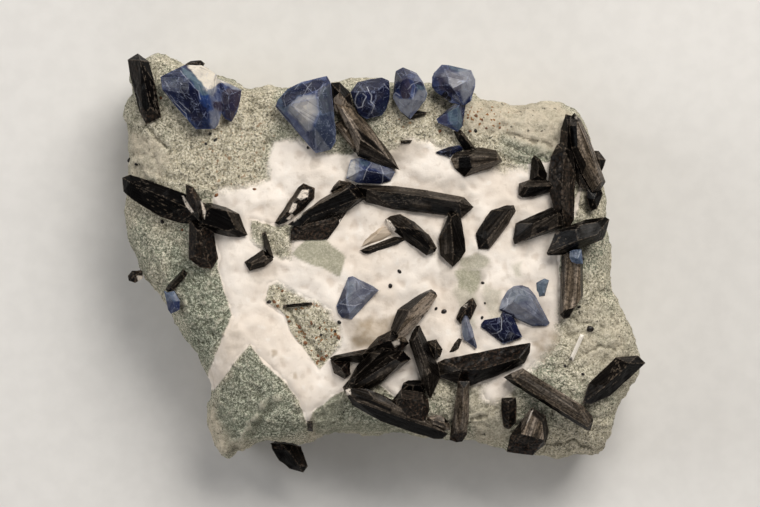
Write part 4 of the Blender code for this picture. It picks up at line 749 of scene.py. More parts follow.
def face_runs(mesh):
    """The way that each flat face runs on the drawing, as an angle."""
    angles = []
    for face in mesh.polygons:
        ring = np.array([mesh.vertices[k].co[:2] for k in face.vertices])
        across = ring - ring.mean(axis=0)
        spread = across.T @ across
        angles.append(0.5 * math.atan2(2.0 * spread[0, 1], spread[0, 0] - spread[1, 1]))
    return angles


def crystal_of(node, name, spacing, wear, looks, plain):
    """A worn, finely netted copy of a crystal. Looks give a value to the faces at chosen places."""
    piece = copy_of(node, name)
    shaped(piece, 'DECIMATE', decimate_type='DISSOLVE', angle_limit=math.radians(1.0))
    mesh = piece.data
    from_above = BVHTree.FromPolygons([v.co for v in mesh.vertices], [list(f.vertices) for f in mesh.polygons])
    for label, places in looks.items():
        values = np.full(len(mesh.polygons), plain.get(label, 0.0))
        for x, y, value in places:
            place = Vector(((x + DRAWING_SHIFT[0]) * MM, (y + DRAWING_SHIFT[1]) * MM, 0.2))
            values[from_above.ray_cast(place, Vector((0.0, 0.0, -1.0)))[2]] = value
        keep_on_faces(piece, label, values)
    keep_on_faces(piece, "run", face_runs(mesh))
    keep_on_faces(piece, "tone", [noise.noise(face.center * 500.0 + face.normal * 3.0) for face in mesh.polygons])
    worn = mesh.attributes.new("bevel_weight_edge", 'FLOAT', 'EDGE')
    for index in convex_edges(mesh):
        worn.data[index].value = 1.0
    shaped(piece, 'BEVEL', width=wear * MM, segments=2, limit_method='WEIGHT', loop_slide=False,
           use_clamp_overlap=True)
    split_edges(piece, spacing)
    return piece


def point_share(piece, name):
    """A value of the small faces, averaged on the points round them."""
    total = np.zeros(len(piece.data.vertices))
    count = np.zeros(len(piece.data.vertices))
    corners = np.empty(len(piece.data.polygons) * 3, np.int32)
    piece.data.polygons.foreach_get("vertices", corners)
    np.add.at(total, corners, np.repeat(read_faces(piece, name), 3))
    np.add.at(count, corners, 1.0)
    return total / np.maximum(count, 1.0)


def chip(piece, everywhere, pits):
    """Press small uneven hollows into a crystal, deeper where it is pitted."""
    points = points_of(piece)
    normals = np.empty(len(points) * 3, np.float32)
    piece.data.vertex_normals.foreach_get("vector", normals)
    fine = np.array([noise.noise(p * 1100.0) for p in points_as_vectors(points)])
    broad = np.array([noise.noise(p * 420.0) for p in points_as_vectors(points)])
    hollow = everywhere * np.clip(broad - 0.05, 0.0, 1.0) + pits * np.clip(fine + 0.25 + broad, 0.0, 1.2)
    move_points(piece, points - normals.reshape(-1, 3) * hollow[:, None] * MM)


def edge_share(piece):
    """1 on the points of the worn edges of a piece, and 0 inside its flat faces."""
    sides = np.empty(len(piece.data.loops), np.int32)
    piece.data.loops.foreach_get("edge_index", sides)
    order = np.argsort(sides, kind="stable")
    shared = sides[order][:-1] == sides[order][1:]
    first, second = order[:-1][shared] // 3, order[1:][shared] // 3
    normals = face_values(piece, "normal")
    bent = np.sum(normals[first] * normals[second], axis=1) < math.cos(math.radians(8.0))
    ends = np.empty(len(piece.data.edges) * 2, np.int32)
    piece.data.edges.foreach_get("vertices", ends)
    share = np.zeros(len(piece.data.vertices))
    share[ends.reshape(-1, 2)[sides[order][:-1][shared][bent]].ravel()] = 1.0
    return share


def points_as_vectors(points):
    """Points as vectors, for noise."""
    return [Vector(p) for p in points]


def finish_edges(piece):
    """Smooth shading with crisp edges between the flat faces."""
    clear_selection()
    bpy.context.view_layer.objects.active = piece
    piece.select_set(True)
    bpy.ops.object.shade_smooth_by_angle(angle=math.radians(28.0))


# Rows of x, y and how strongly the face there shows a painted brownish grey reflection instead of black.
NEPTUNITE_PAINTED_SHEEN = {
    "neptunite_upper_left_prism": [(-61.8, 46.3, 0.03), (-59.9, 36.9, 0.05), (-57.9, 36.3, 0.05)],
    "neptunite_sliver_behind": [],
    "neptunite_left_cluster": [
        (-48.1, 18.5, 0.05), (-48.5, 16.7, 0.03), (-46.7, 16.7, 0.08), (-41.1, 13.7, 0.05), (-38.0, 12.7, 0.10), (-36.2, 10.0, 0.14),
        (-37.8, 6.6, 0.06), (-36.2, 7.1, 0.07), (-47.6, 5.2, 0.03), (-45.5, 3.5, 0.04), (-43.3, 4.8, 0.03), (-44.9, -0.4, 0.05),
        (-42.8, 0.1, 0.05), (-47.1, 0.1, 0.04)],
    "neptunite_left_edge_bit": [(-61.0, -3.3, 0.10), (-61.6, -4.3, 0.06)],
    "neptunite_small_cross": [
        (-29.5, 4.8, 0.02), (-28.9, 5.3, 0.04), (-28.1, 2.7, 0.06), (-31.0, 1.5, 0.08), (-30.6, 0.4, 0.16), (-28.8, -0.1, 0.16),
        (-31.3, -1.2, 0.10), (-33.3, -1.3, 0.03), (-32.9, 0.7, 0.02)],
    "neptunite_left_small_prism": [(-51.6, -3.9, 0.02), (-51.3, -5.1, 0.07)],
    "neptunite_below_the_edge": [(-21.3, -48.7, 0.04)],
    "neptunite_lower_left_block": [],
    "neptunite_veined_blade": [
        (-22.6, 15.3, 0.14), (-25.6, 11.5, 0.16), (-20.2, 18.2, 0.08), (-17.8, 16.9, 0.07), (-21.2, 14.3, 0.03), (-21.4, 12.6, 0.03),
        (-18.6, 14.9, 0.05), (-18.7, 18.4, 0.03)],
    "neptunite_center_cross": [
        (4.9, 17.6, 0.17), (15.2, 16.3, 0.14), (20.7, 14.8, 0.10), (20.5, 13.1, 0.07), (-2.3, 18.7, 0.12), (-1.7, 15.3, 0.08),
        (8.6, 14.3, 0.07), (-4.9, 17.2, 0.02), (-6.5, 17.0, 0.01), (-12.7, 14.5, 0.01), (-13.6, 16.1, 0.24), (-19.0, 12.7, 0.14),
        (-14.3, 11.7, 0.03), (-10.4, 12.7, 0.03), (-14.3, 10.2, 0.06), (-10.9, 10.5, 0.04), (-17.3, 7.1, 0.06), (-21.8, 7.3, 0.05),
        (-12.6, 8.0, 0.06), (-20.4, 8.7, 0.06), (-11.4, 19.3, 0.15), (-9.8, 19.7, 0.15), (-9.5, 19.1, 0.10), (-8.9, 18.8, 0.05),
        (15.8, 5.0, 0.13), (16.3, 0.7, 0.10), (19.0, 9.2, 0.02), (18.5, 6.0, 0.02), (19.0, 1.9, 0.03), (18.1, 0.4, 0.06)],
    "neptunite_center_pair": [
        (2.6, 9.8, 0.14), (5.1, 9.9, 0.11), (6.9, 9.9, 0.09), (9.4, 8.1, 0.22), (11.4, 5.5, 0.18), (4.2, 6.9, 0.02),
        (8.2, 6.6, 0.01), (8.4, 4.5, 0.03), (11.9, 2.4, 0.02), (4.0, 5.8, 0.10), (0.0, 4.6, 0.07), (0.0, 3.6, 0.02),
        (-4.0, 3.1, 0.06)],
    "neptunite_block_with_prism": [
        (19.7, 24.7, 0.004), (20.2, 22.6, 0.004), (19.1, 26.3, 0.10), (20.9, 27.3, 0.06), (25.7, 27.2, 0.13), (24.6, 25.3, 0.15),
        (24.5, 23.3, 0.34), (29.0, 26.2, 0.15), (28.6, 24.5, 0.22), (21.1, 30.6, 0.14), (19.1, 32.2, 0.05)],
    "neptunite_under_benitoite": [],
    "neptunite_top_sliver": [(5.6, 29.7, 0.05)],
    "neptunite_right_blade": [
        (27.8, 10.1, 0.07), (24.8, 7.8, 0.06), (24.3, 5.1, 0.03), (28.8, 7.5, 0.24), (32.0, 11.6, 0.16), (29.9, 13.2, 0.04)],
    "neptunite_right_cluster": [
        (37.7, 23.1, 0.07), (39.8, 21.9, 0.02), (39.5, 24.0, 0.07), (38.6, 20.7, 0.05), (38.4, 19.5, 0.12), (35.1, 19.6, 0.10),
        (34.2, 18.3, 0.15), (35.0, 17.4, 0.09), (37.9, 17.6, 0.01), (40.4, 17.5, 0.01), (45.1, 30.8, 0.05), (44.7, 28.8, 0.08),
        (43.6, 27.6, 0.08), (43.6, 23.9, 0.07), (43.1, 18.0, 0.06), (43.0, 14.1, 0.06), (42.9, 12.6, 0.03), (47.0, 25.4, 0.03),
        (46.3, 18.7, 0.07), (46.0, 10.7, 0.05), (44.2, 10.1, 0.03), (49.1, 25.5, 0.05), (48.6, 20.6, 0.06), (49.9, 19.4, 0.05),
        (50.8, 27.7, 0.44), (52.0, 20.7, 0.44), (50.2, 32.5, 0.30), (53.2, 24.9, 0.24), (53.6, 18.3, 0.15), (54.8, 19.2, 0.06),
        (47.4, 34.9, 0.14), (48.6, 35.8, 0.12), (53.4, 26.9, 0.12), (54.5, 26.2, 0.10), (39.2, 11.3, 0.02), (40.4, 9.1, 0.10),
        (35.0, 9.8, 0.05), (34.2, 8.2, 0.09), (35.3, 6.6, 0.06), (41.5, 7.6, 0.03), (46.3, 8.2, 0.04), (44.9, 5.5, 0.02),
        (43.9, 3.1, 0.03), (45.0, 2.8, 0.01), (48.3, 9.4, 0.02), (52.1, 10.2, 0.02), (51.1, 7.6, 0.05), (54.9, 9.9, 0.01),
        (54.6, 6.9, 0.03), (47.2, -5.4, 0.50), (45.0, -3.5, 0.34), (44.5, -10.4, 0.14), (49.6, -4.7, 0.18), (48.6, -10.5, 0.05)],
    "neptunite_lower_right_bar": [
        (41.4, -33.5, 0.31), (50.0, -37.9, 0.33), (40.8, -30.7, 0.26), (33.5, -27.9, 0.22), (31.5, -28.8, 0.06), (32.5, -30.1, 0.02),
        (52.0, -39.8, 0.12), (51.8, -41.0, 0.03)],
    "neptunite_corner_prism": [(56.5, -27.6, 0.03), (52.3, -32.3, 0.05), (61.1, -24.3, 0.07), (63.6, -24.8, 0.03), (52.4, -34.2, 0.02)],
    "neptunite_bottom_stub": [(30.4, -36.4, 0.03), (32.2, -36.2, 0.04), (31.3, -34.4, 0.03)],
    "neptunite_bottom_wedge": [
        (37.7, -41.9, 0.46), (35.6, -39.8, 0.26), (38.7, -38.4, 0.10), (40.6, -41.5, 0.09), (40.8, -44.3, 0.05), (33.6, -42.1, 0.03),
        (32.4, -44.9, 0.03), (35.7, -46.0, 0.03), (39.4, -46.4, 0.03)],
    "neptunite_lower_cluster": [
        (9.7, -11.1, 0.95), (6.6, -15.9, 0.80), (7.5, -10.1, 0.04), (4.2, -14.5, 0.09), (4.9, -19.3, 0.40), (4.0, -20.8, 0.03),
        (0.4, -19.0, 0.03), (-2.4, -20.6, 0.04), (0.4, -21.0, 0.04), (-2.8, -21.9, 0.06), (0.0, -23.8, 0.05), (3.3, -23.4, 0.05),
        (-4.2, -25.0, 0.03), (-4.5, -27.6, 0.05), (-2.2, -27.1, 0.04), (-1.0, -27.8, 0.06), (-1.0, -29.5, 0.10), (3.6, -26.6, 0.05),
        (-7.5, -29.6, 0.04), (-7.2, -28.2, 0.10), (-9.0, -30.8, 0.05), (-7.3, -22.9, 0.03), (-11.6, -23.8, 0.03), (-7.8, -24.3, 0.03),
        (-11.9, -26.4, 0.13), (-10.6, -28.2, 0.11), (7.6, -18.2, 0.04), (8.4, -24.5, 0.08), (9.5, -23.1, 0.08), (12.6, -26.8, 0.02),
        (10.7, -30.1, 0.07), (12.4, -30.4, 0.05), (12.4, -20.3, 0.10), (13.8, -21.0, 0.11), (14.1, -22.4, 0.11), (13.4, -23.3, 0.11),
        (12.0, -21.3, 0.07), (7.1, -33.3, 0.07), (3.8, -33.5, 0.06), (3.7, -34.9, 0.05), (7.9, -36.0, 0.05), (5.8, -36.8, 0.05),
        (10.4, -33.9, 0.05), (10.9, -35.4, 0.06), (10.4, -37.8, 0.04), (8.4, -39.1, 0.04), (2.1, -34.8, 0.05), (-5.9, -33.1, 0.10),
        (-0.5, -34.0, 0.13), (2.4, -37.2, 0.17), (-8.1, -34.0, 0.05), (12.4, -39.0, 0.34), (14.2, -39.3, 0.36), (14.1, -40.6, 0.36),
        (16.2, -41.1, 0.32), (11.8, -39.8, 0.32), (11.6, -40.6, 0.26), (13.5, -41.5, 0.28), (15.5, -41.8, 0.26), (20.2, -30.6, 0.04),
        (18.6, -36.9, 0.13), (20.8, -34.4, 0.16), (20.4, -40.1, 0.09), (18.3, -43.4, 0.04), (20.2, -43.4, 0.04), (20.7, -24.5, 0.04),
        (28.4, -23.7, 0.03), (16.2, -25.5, 0.09), (15.8, -26.9, 0.11), (17.2, -28.7, 0.06), (35.6, -22.0, 0.03), (35.9, -22.4, 0.04)],
    "neptunite_small_wedge": [(19.0, -20.6, 0.03)],
    "neptunite_blue_neighbor": [(20.6, -11.0, 0.06), (21.9, -10.1, 0.10), (22.7, -10.3, 0.05)],
    "neptunite_needle": [],
    "neptunite_striated_prism": [
        (-8.4, 40.4, 0.03), (-11.1, 40.2, 0.60), (-9.8, 39.5, 0.60), (-8.6, 39.0, 0.38), (-4.9, 33.0, 0.40), (-8.5, 33.2, 0.32),
        (0.4, 28.2, 0.16), (-2.1, 26.5, 0.12), (2.9, 24.8, 0.26), (-10.8, 33.6, 0.09), (-10.0, 33.9, 0.10), (-9.8, 31.7, 0.07),
        (-8.1, 30.9, 0.12), (-8.3, 29.2, 0.03)],
}

# The faces that are pitted or broken, as x, y and how deep the pits are in millimetres.
NEPTUNITE_PITS = {
    "neptunite_upper_left_prism": [(-59.9, 36.9, 0.45), (-57.9, 36.3, 0.45), (-61.6, 41.2, 0.2), (-61.8, 46.3, 0.15)],
    "neptunite_left_cluster": [
        (-47.6, 5.2, 0.25), (-45.5, 3.5, 0.2), (-43.3, 4.8, 0.3), (-44.9, -0.4, 0.4), (-42.8, 0.1, 0.35), (-47.1, 0.1, 0.35),
        (-51.1, 11.5, 0.2), (-48.5, 16.7, 0.3), (-46.7, 16.7, 0.4), (-48.1, 18.5, 0.3), (-47.4, 13.9, 0.2)],
    "neptunite_left_edge_bit": [(-63.5, -4.0, 0.4), (-62.0, -2.7, 0.4), (-62.8, -4.6, 0.4), (-61.6, -4.3, 0.4), (-61.0, -3.3, 0.4)],
    "neptunite_below_the_edge": [(-21.3, -48.7, 0.4), (-26.6, -46.6, 0.4)],
    "neptunite_veined_blade": [(-21.2, 14.3, 0.35), (-21.4, 12.6, 0.35), (-18.7, 18.4, 0.35), (-17.8, 16.9, 0.2)],
    "neptunite_center_cross": [
        (-17.3, 7.1, 0.5), (-21.8, 7.3, 0.5), (-12.6, 8.0, 0.45), (-14.3, 10.2, 0.3), (-10.9, 10.5, 0.35), (-20.4, 8.7, 0.4)],
    "neptunite_right_cluster": [
        (45.1, 30.8, 0.3), (43.6, 23.9, 0.2), (43.1, 18.0, 0.2), (46.3, 18.7, 0.25), (43.0, 14.1, 0.25), (46.0, 10.7, 0.2)],
    "neptunite_bottom_stub": [
        (30.4, -36.4, 0.3), (32.2, -36.2, 0.3), (32.6, -38.9, 0.3), (30.5, -39.6, 0.3), (32.1, -40.9, 0.4), (31.0, -41.3, 0.4)],
    "neptunite_bottom_wedge": [(35.7, -46.0, 0.5), (32.4, -44.9, 0.5), (39.4, -46.4, 0.3), (33.6, -42.1, 0.3)],
    "neptunite_lower_cluster": [
        (20.7, -24.5, 0.3), (28.4, -23.7, 0.3), (16.2, -25.5, 0.3), (21.4, -28.4, 0.2), (7.1, -33.3, 0.2), (7.9, -36.0, 0.4),
        (5.8, -36.8, 0.3), (10.4, -37.8, 0.45), (8.4, -39.1, 0.45), (10.9, -35.4, 0.4), (18.3, -43.4, 0.45), (19.3, -44.1, 0.45),
        (20.2, -43.4, 0.45), (0.4, -19.0, 0.3), (4.0, -20.8, 0.35), (-9.0, -26.8, 0.35), (-10.7, -25.4, 0.25), (-7.3, -22.9, 0.2)],
    "neptunite_small_wedge": [(19.0, -20.6, 0.25), (17.8, -21.2, 0.25)],
    "neptunite_blue_neighbor": [
        (20.6, -11.0, 0.4), (21.9, -10.1, 0.4), (19.3, -12.7, 0.4), (19.2, -13.9, 0.4), (21.4, -12.7, 0.3), (22.5, -12.1, 0.3)],
}

# Small darker and lighter stretches of the painted reflection within the faces, painted over them in
# this order: rows of painted sheen, softness and outline. Natrolite that clings to the crystals is painted in the same
# way.
NEPTUNITE_PATCHES = {
    "neptunite_center_cross": [
        (0.008, 0.4, [(0.2, 15.9), (4.2, 16.9), (6.2, 16.4), (5.2, 14.6), (1.8, 14.9)]),
        (0.008, 0.5, [(12.2, 14.4), (18.8, 13.1), (19.8, 11.9), (14.2, 11.9), (12.0, 12.6)]),
        (0.02, 0.4, [(3.0, 14.6), (9.2, 13.6), (11.8, 12.9), (10.5, 13.9), (5.5, 15.4)]),
        (0.12, 0.5, [(6.2, 15.4), (11.2, 14.4), (11.8, 13.1), (7.8, 13.6)]),
    ],
    "neptunite_center_pair": [
        (0.008, 0.4, [(5.8, 7.4), (8.2, 8.1), (9.8, 7.9), (11.8, 4.4), (10.8, 2.4), (7.2, 4.9)]),
    ],
    "neptunite_block_with_prism": [
        (0.004, 0.3, [(19.0, 25.9), (21.8, 26.9), (21.8, 23.6), (20.2, 21.1), (19.2, 22.4)]),
        (0.34, 0.3, [(16.9, 25.6), (18.8, 26.1), (18.9, 23.4), (17.9, 23.1)]),
    ],
    "neptunite_right_cluster": [
        (0.02, 0.3, [(38.2, 8.4), (41.5, 8.9), (41.2, 7.1), (38.5, 6.9)]),
        (0.008, 0.6, [(43.2, 7.4), (49.2, 9.6), (48.5, 5.1), (44.2, 5.4)]),
        (0.10, 0.4, [(41.0, 1.4), (42.2, 5.9), (43.8, 4.9), (45.8, 2.4), (42.2, 1.9)]),
        (0.01, 0.4, [(44.6, 1.4), (45.2, 1.4), (45.2, -3.1), (44.2, -2.1)]),
        (0.02, 0.5, [(47.2, 16.4), (48.5, 18.9), (50.0, 15.4), (51.8, 11.4), (50.2, 9.9), (48.2, 13.9)]),
    ],
    "neptunite_lower_cluster": [
        (0.02, 0.25, [(10.0, -13.4), (7.0, -18.6), (7.5, -18.9), (10.5, -13.6)]),
        (0.02, 0.3, [(-6.5, -33.1), (-5.2, -33.6), (2.2, -36.9), (2.0, -37.6), (-4.2, -34.9), (-6.8, -33.9)]),
        (0.16, 0.4, [(8.8, -21.9), (11.2, -24.6), (12.0, -27.6), (10.2, -29.1), (9.2, -25.6)]),
        (0.14, 0.4, [(-1.2, -27.4), (1.2, -26.4), (3.2, -26.6), (1.8, -28.6), (-2.2, -30.6)]),
        (0.08, 0.5, [(-3.2, -23.9), (0.0, -20.4), (0.8, -21.1), (-2.2, -24.6)]),
        (0.36, 0.5, [(18.0, -31.6), (21.2, -31.6), (21.5, -42.6), (18.2, -43.1)]),
    ],
    "neptunite_corner_prism": [
        (0.16, 0.2, [(54.2, -26.1), (55.8, -25.4), (56.0, -25.9), (54.8, -26.6)]),
    ],
    "neptunite_striated_prism": [
        (0.75, 0.5, [(-13.0, 40.1), (-9.5, 40.6), (-6.5, 35.6), (-9.5, 34.9)]),
        (0.50, 0.5, [(-12.0, 34.1), (-10.5, 34.9), (-6.5, 28.6), (-8.2, 28.1)]),
        (0.01, 0.5, [(-10.8, 31.4), (-7.8, 27.9), (-2.8, 25.9), (-4.2, 25.4), (-7.8, 26.4), (-10.0, 28.9)]),
        (0.03, 0.4, [(-6.8, 33.4), (-2.2, 29.9), (1.2, 25.9), (-0.8, 27.4), (-5.2, 30.4)]),
    ],
}
CLINGING = {
    "neptunite_left_cluster": [
        (1.0, 0.3, [(-50.2, 16.4), (-49.8, 16.4), (-48.2, 13.9), (-47.2, 12.4), (-47.8, 12.1), (-49.2, 13.9)]),
        (0.8, 0.3, [(-45.5, 15.1), (-45.0, 14.6), (-44.2, 12.6), (-44.5, 10.6), (-45.0, 12.4)]),
    ],
    "neptunite_left_edge_bit": [(0.8, 0.3, [(-61.8, -3.6), (-60.2, -3.6), (-60.5, -4.9), (-61.5, -4.9)])],
    "neptunite_veined_blade": [
        (1.0, 0.3, [(-21.5, 15.9), (-20.2, 17.9), (-18.5, 17.9), (-18.8, 16.1), (-20.5, 15.4)]),
        (1.0, 0.3, [(-23.5, 12.4), (-22.5, 14.6), (-21.5, 14.4), (-21.8, 13.1), (-23.0, 11.9)]),
        (0.8, 0.3, [(-24.2, 10.6), (-22.8, 11.9), (-22.2, 11.4), (-23.5, 10.4)]),
    ],
    "neptunite_center_cross": [
        (0.5, 0.3, [(15.5, 11.4), (16.2, 11.4), (15.2, 8.9), (14.2, 6.9), (14.0, 7.4)]),
        (0.9, 0.4, [(-22.8, 10.6), (-20.0, 11.9), (-20.8, 10.9), (-22.2, 9.9)]),
    ],
    "neptunite_center_pair": [(1.0, 0.3, [(0.8, 10.6), (1.8, 10.1), (3.2, 8.1), (2.8, 7.4), (1.2, 8.6)])],
    "neptunite_right_cluster": [(0.3, 0.3, [(47.8, 36.1), (48.5, 36.4), (48.5, 35.6), (48.0, 35.4)])],
    "neptunite_lower_cluster": [
        (0.9, 0.4, [(2.2, -20.1), (4.0, -19.4), (4.2, -20.6), (3.0, -21.4)]),
        (0.8, 0.3, [(-9.5, -32.1), (-8.2, -31.6), (-8.0, -33.1), (-9.0, -33.4)]),
    ],
    "neptunite_bottom_wedge": [(0.7, 0.3, [(37.0, -37.4), (37.5, -37.1), (36.5, -39.6), (35.8, -40.6)])],
    "neptunite_blue_neighbor": [(0.5, 0.3, [(19.8, -11.1), (21.2, -10.4), (20.8, -11.6)])],
}

# Streaks is shared by both kinds of crystal: fine lines along each face, by the run kept on it.
streaks, entry, leave = group("streaks", [("Vector", "Vector"), ("Run", "Float"), ("Fineness", "Float")],
                              [("Lines", "Float"), ("Broad", "Float")])
tree = streaks
back = maths(tree, 'MULTIPLY', entry["Run"], -1.0)
turned = add(tree, "VectorRotate", {"rotation_type": 'Z_AXIS'}, Vector=entry["Vector"], Angle=back).outputs[0]
narrow = add(tree, "Mapping", None, Vector=turned, Scale=(0.025, 1.0, 0.3)).outputs[0]
lines = add(tree, "TexNoise", None, Vector=narrow, Scale=entry["Fineness"], Detail=3.0, Roughness=0.6)
tree.links.new(lines.outputs["Fac"], leave["Lines"])
wide = add(tree, "Mapping", None, Vector=turned, Scale=(0.10, 1.0, 0.5), Location=(0.2, 0.2, 0.2)).outputs[0]
coarse = maths(tree, 'MULTIPLY', entry["Fineness"], 0.32)
bands = add(tree, "TexNoise", None, Vector=wide, Scale=coarse, Detail=2.0)
tree.links.new(bands.outputs["Fac"], leave["Broad"])

glossy, tree, shader, where = new_material("black_neptunite", 0.30, Specular_IOR_Level=0.10)
made = placed(tree, streaks, Vector=where, Run=painted(tree, "run"), Fineness=1900.0)
lines = rise(tree, made["Lines"], 0.38, 0.62)
bands = rise(tree, made["Broad"], 0.36, 0.62)
mottle = add(tree, "TexNoise", None, Vector=where, Scale=1500.0, Detail=3.0, Roughness=0.8).outputs["Fac"]
# The painted sheen: a brownish grey painted reflection on the faces that would catch the light, varied by face, streak
# and mottle.
painted_sheen = maths(tree, 'MULTIPLY', maths(tree, 'POWER', painted(tree, "painted_sheen"), 1.25), 1.2)
painted_sheen = maths(tree, 'MULTIPLY', painted_sheen, rise(tree, painted(tree, "tone"), -0.5, 0.5, 0.7, 1.3))
painted_sheen = maths(tree, 'MULTIPLY', painted_sheen, rise(tree, bands, 0.0, 1.0, 0.40, 1.30))
painted_sheen = maths(tree, 'MULTIPLY', painted_sheen, rise(tree, lines, 0.0, 1.0, 0.55, 1.35))
painted_sheen = maths(tree, 'MULTIPLY', painted_sheen, rise(tree, mottle, 0.40, 0.60, 0.50, 1.35))
# A painted glint: a painted highlight along the worn edges.
glint = maths(tree, 'MULTIPLY', painted(tree, "edge"), rise(tree, mottle, 0.45, 0.55, 0.0, 0.26))
painted_sheen = maths(tree, 'ADD', painted_sheen, glint)
brownish = tinted(tree, bands, colour(168, 148, 126), colour(158, 144, 130))
body = tinted(tree, painted_sheen, colour(5, 4, 4), brownish)
rusted = maths(tree, 'MULTIPLY', painted(tree, "pits"), rise(tree, mottle, 0.52, 0.58))
body = tinted(tree, maths(tree, 'MULTIPLY', rusted, 0.45), body, colour(112, 84, 66))
clinging = maths(tree, 'MULTIPLY', painted(tree, "clinging"), rise(tree, mottle, 0.34, 0.46))
body = tinted(tree, clinging, body, colour(224, 212, 198))
tree.links.new(body, shader.inputs["Base Color"])
matt = maths(tree, 'ADD', maths(tree, 'MULTIPLY', painted(tree, "pits"), 0.5), 0.20)
matt = maths(tree, 'ADD', matt, maths(tree, 'MULTIPLY', lines, 0.12))
tree.links.new(maths(tree, 'ADD', matt, maths(tree, 'MULTIPLY', clinging, 0.4)), shader.inputs["Roughness"])
height = maths(tree, 'ADD', maths(tree, 'MULTIPLY', made["Lines"], 0.8), maths(tree, 'MULTIPLY', mottle, 0.35))
bump = add(tree, "Bump", None, Strength=0.5, Distance=0.0003, Height=height)
tree.links.new(bump.outputs["Normal"], shader.inputs["Normal"])

BLACK_FACE = 0.004
for node, painted_sheen_rows in NEPTUNITE_PAINTED_SHEEN.items():
    looks = {"painted_sheen": painted_sheen_rows, "pits": NEPTUNITE_PITS.get(node, [])}
    piece = crystal_of(node, node.replace("neptunite", "black"), 0.48, 0.11, looks, {"painted_sheen": BLACK_FACE})
    # The edge value carries the painted glint along the worn edges.
    paint(piece, "edge", edge_share(piece))
    chip(piece, 0.22, point_share(piece, "pits"))
    middles = face_values(piece, "center")[:, :2] / MM - DRAWING_SHIFT
    painted_sheen = read_faces(piece, "painted_sheen")
    for value, softness, outline in NEPTUNITE_PATCHES.get(node, []):
        share = area_share(middles, [(1.0, softness, outline)])
        painted_sheen = painted_sheen * (1.0 - share) + value * share
    piece.data.attributes["painted_sheen"].data.foreach_set("value", painted_sheen.astype(np.float32))
    keep_on_faces(piece, "clinging", area_share(middles, CLINGING.get(node, [])))
    finish_edges(piece)
    piece.data.materials.append(glossy)
    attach(piece, "root")
    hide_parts(node)


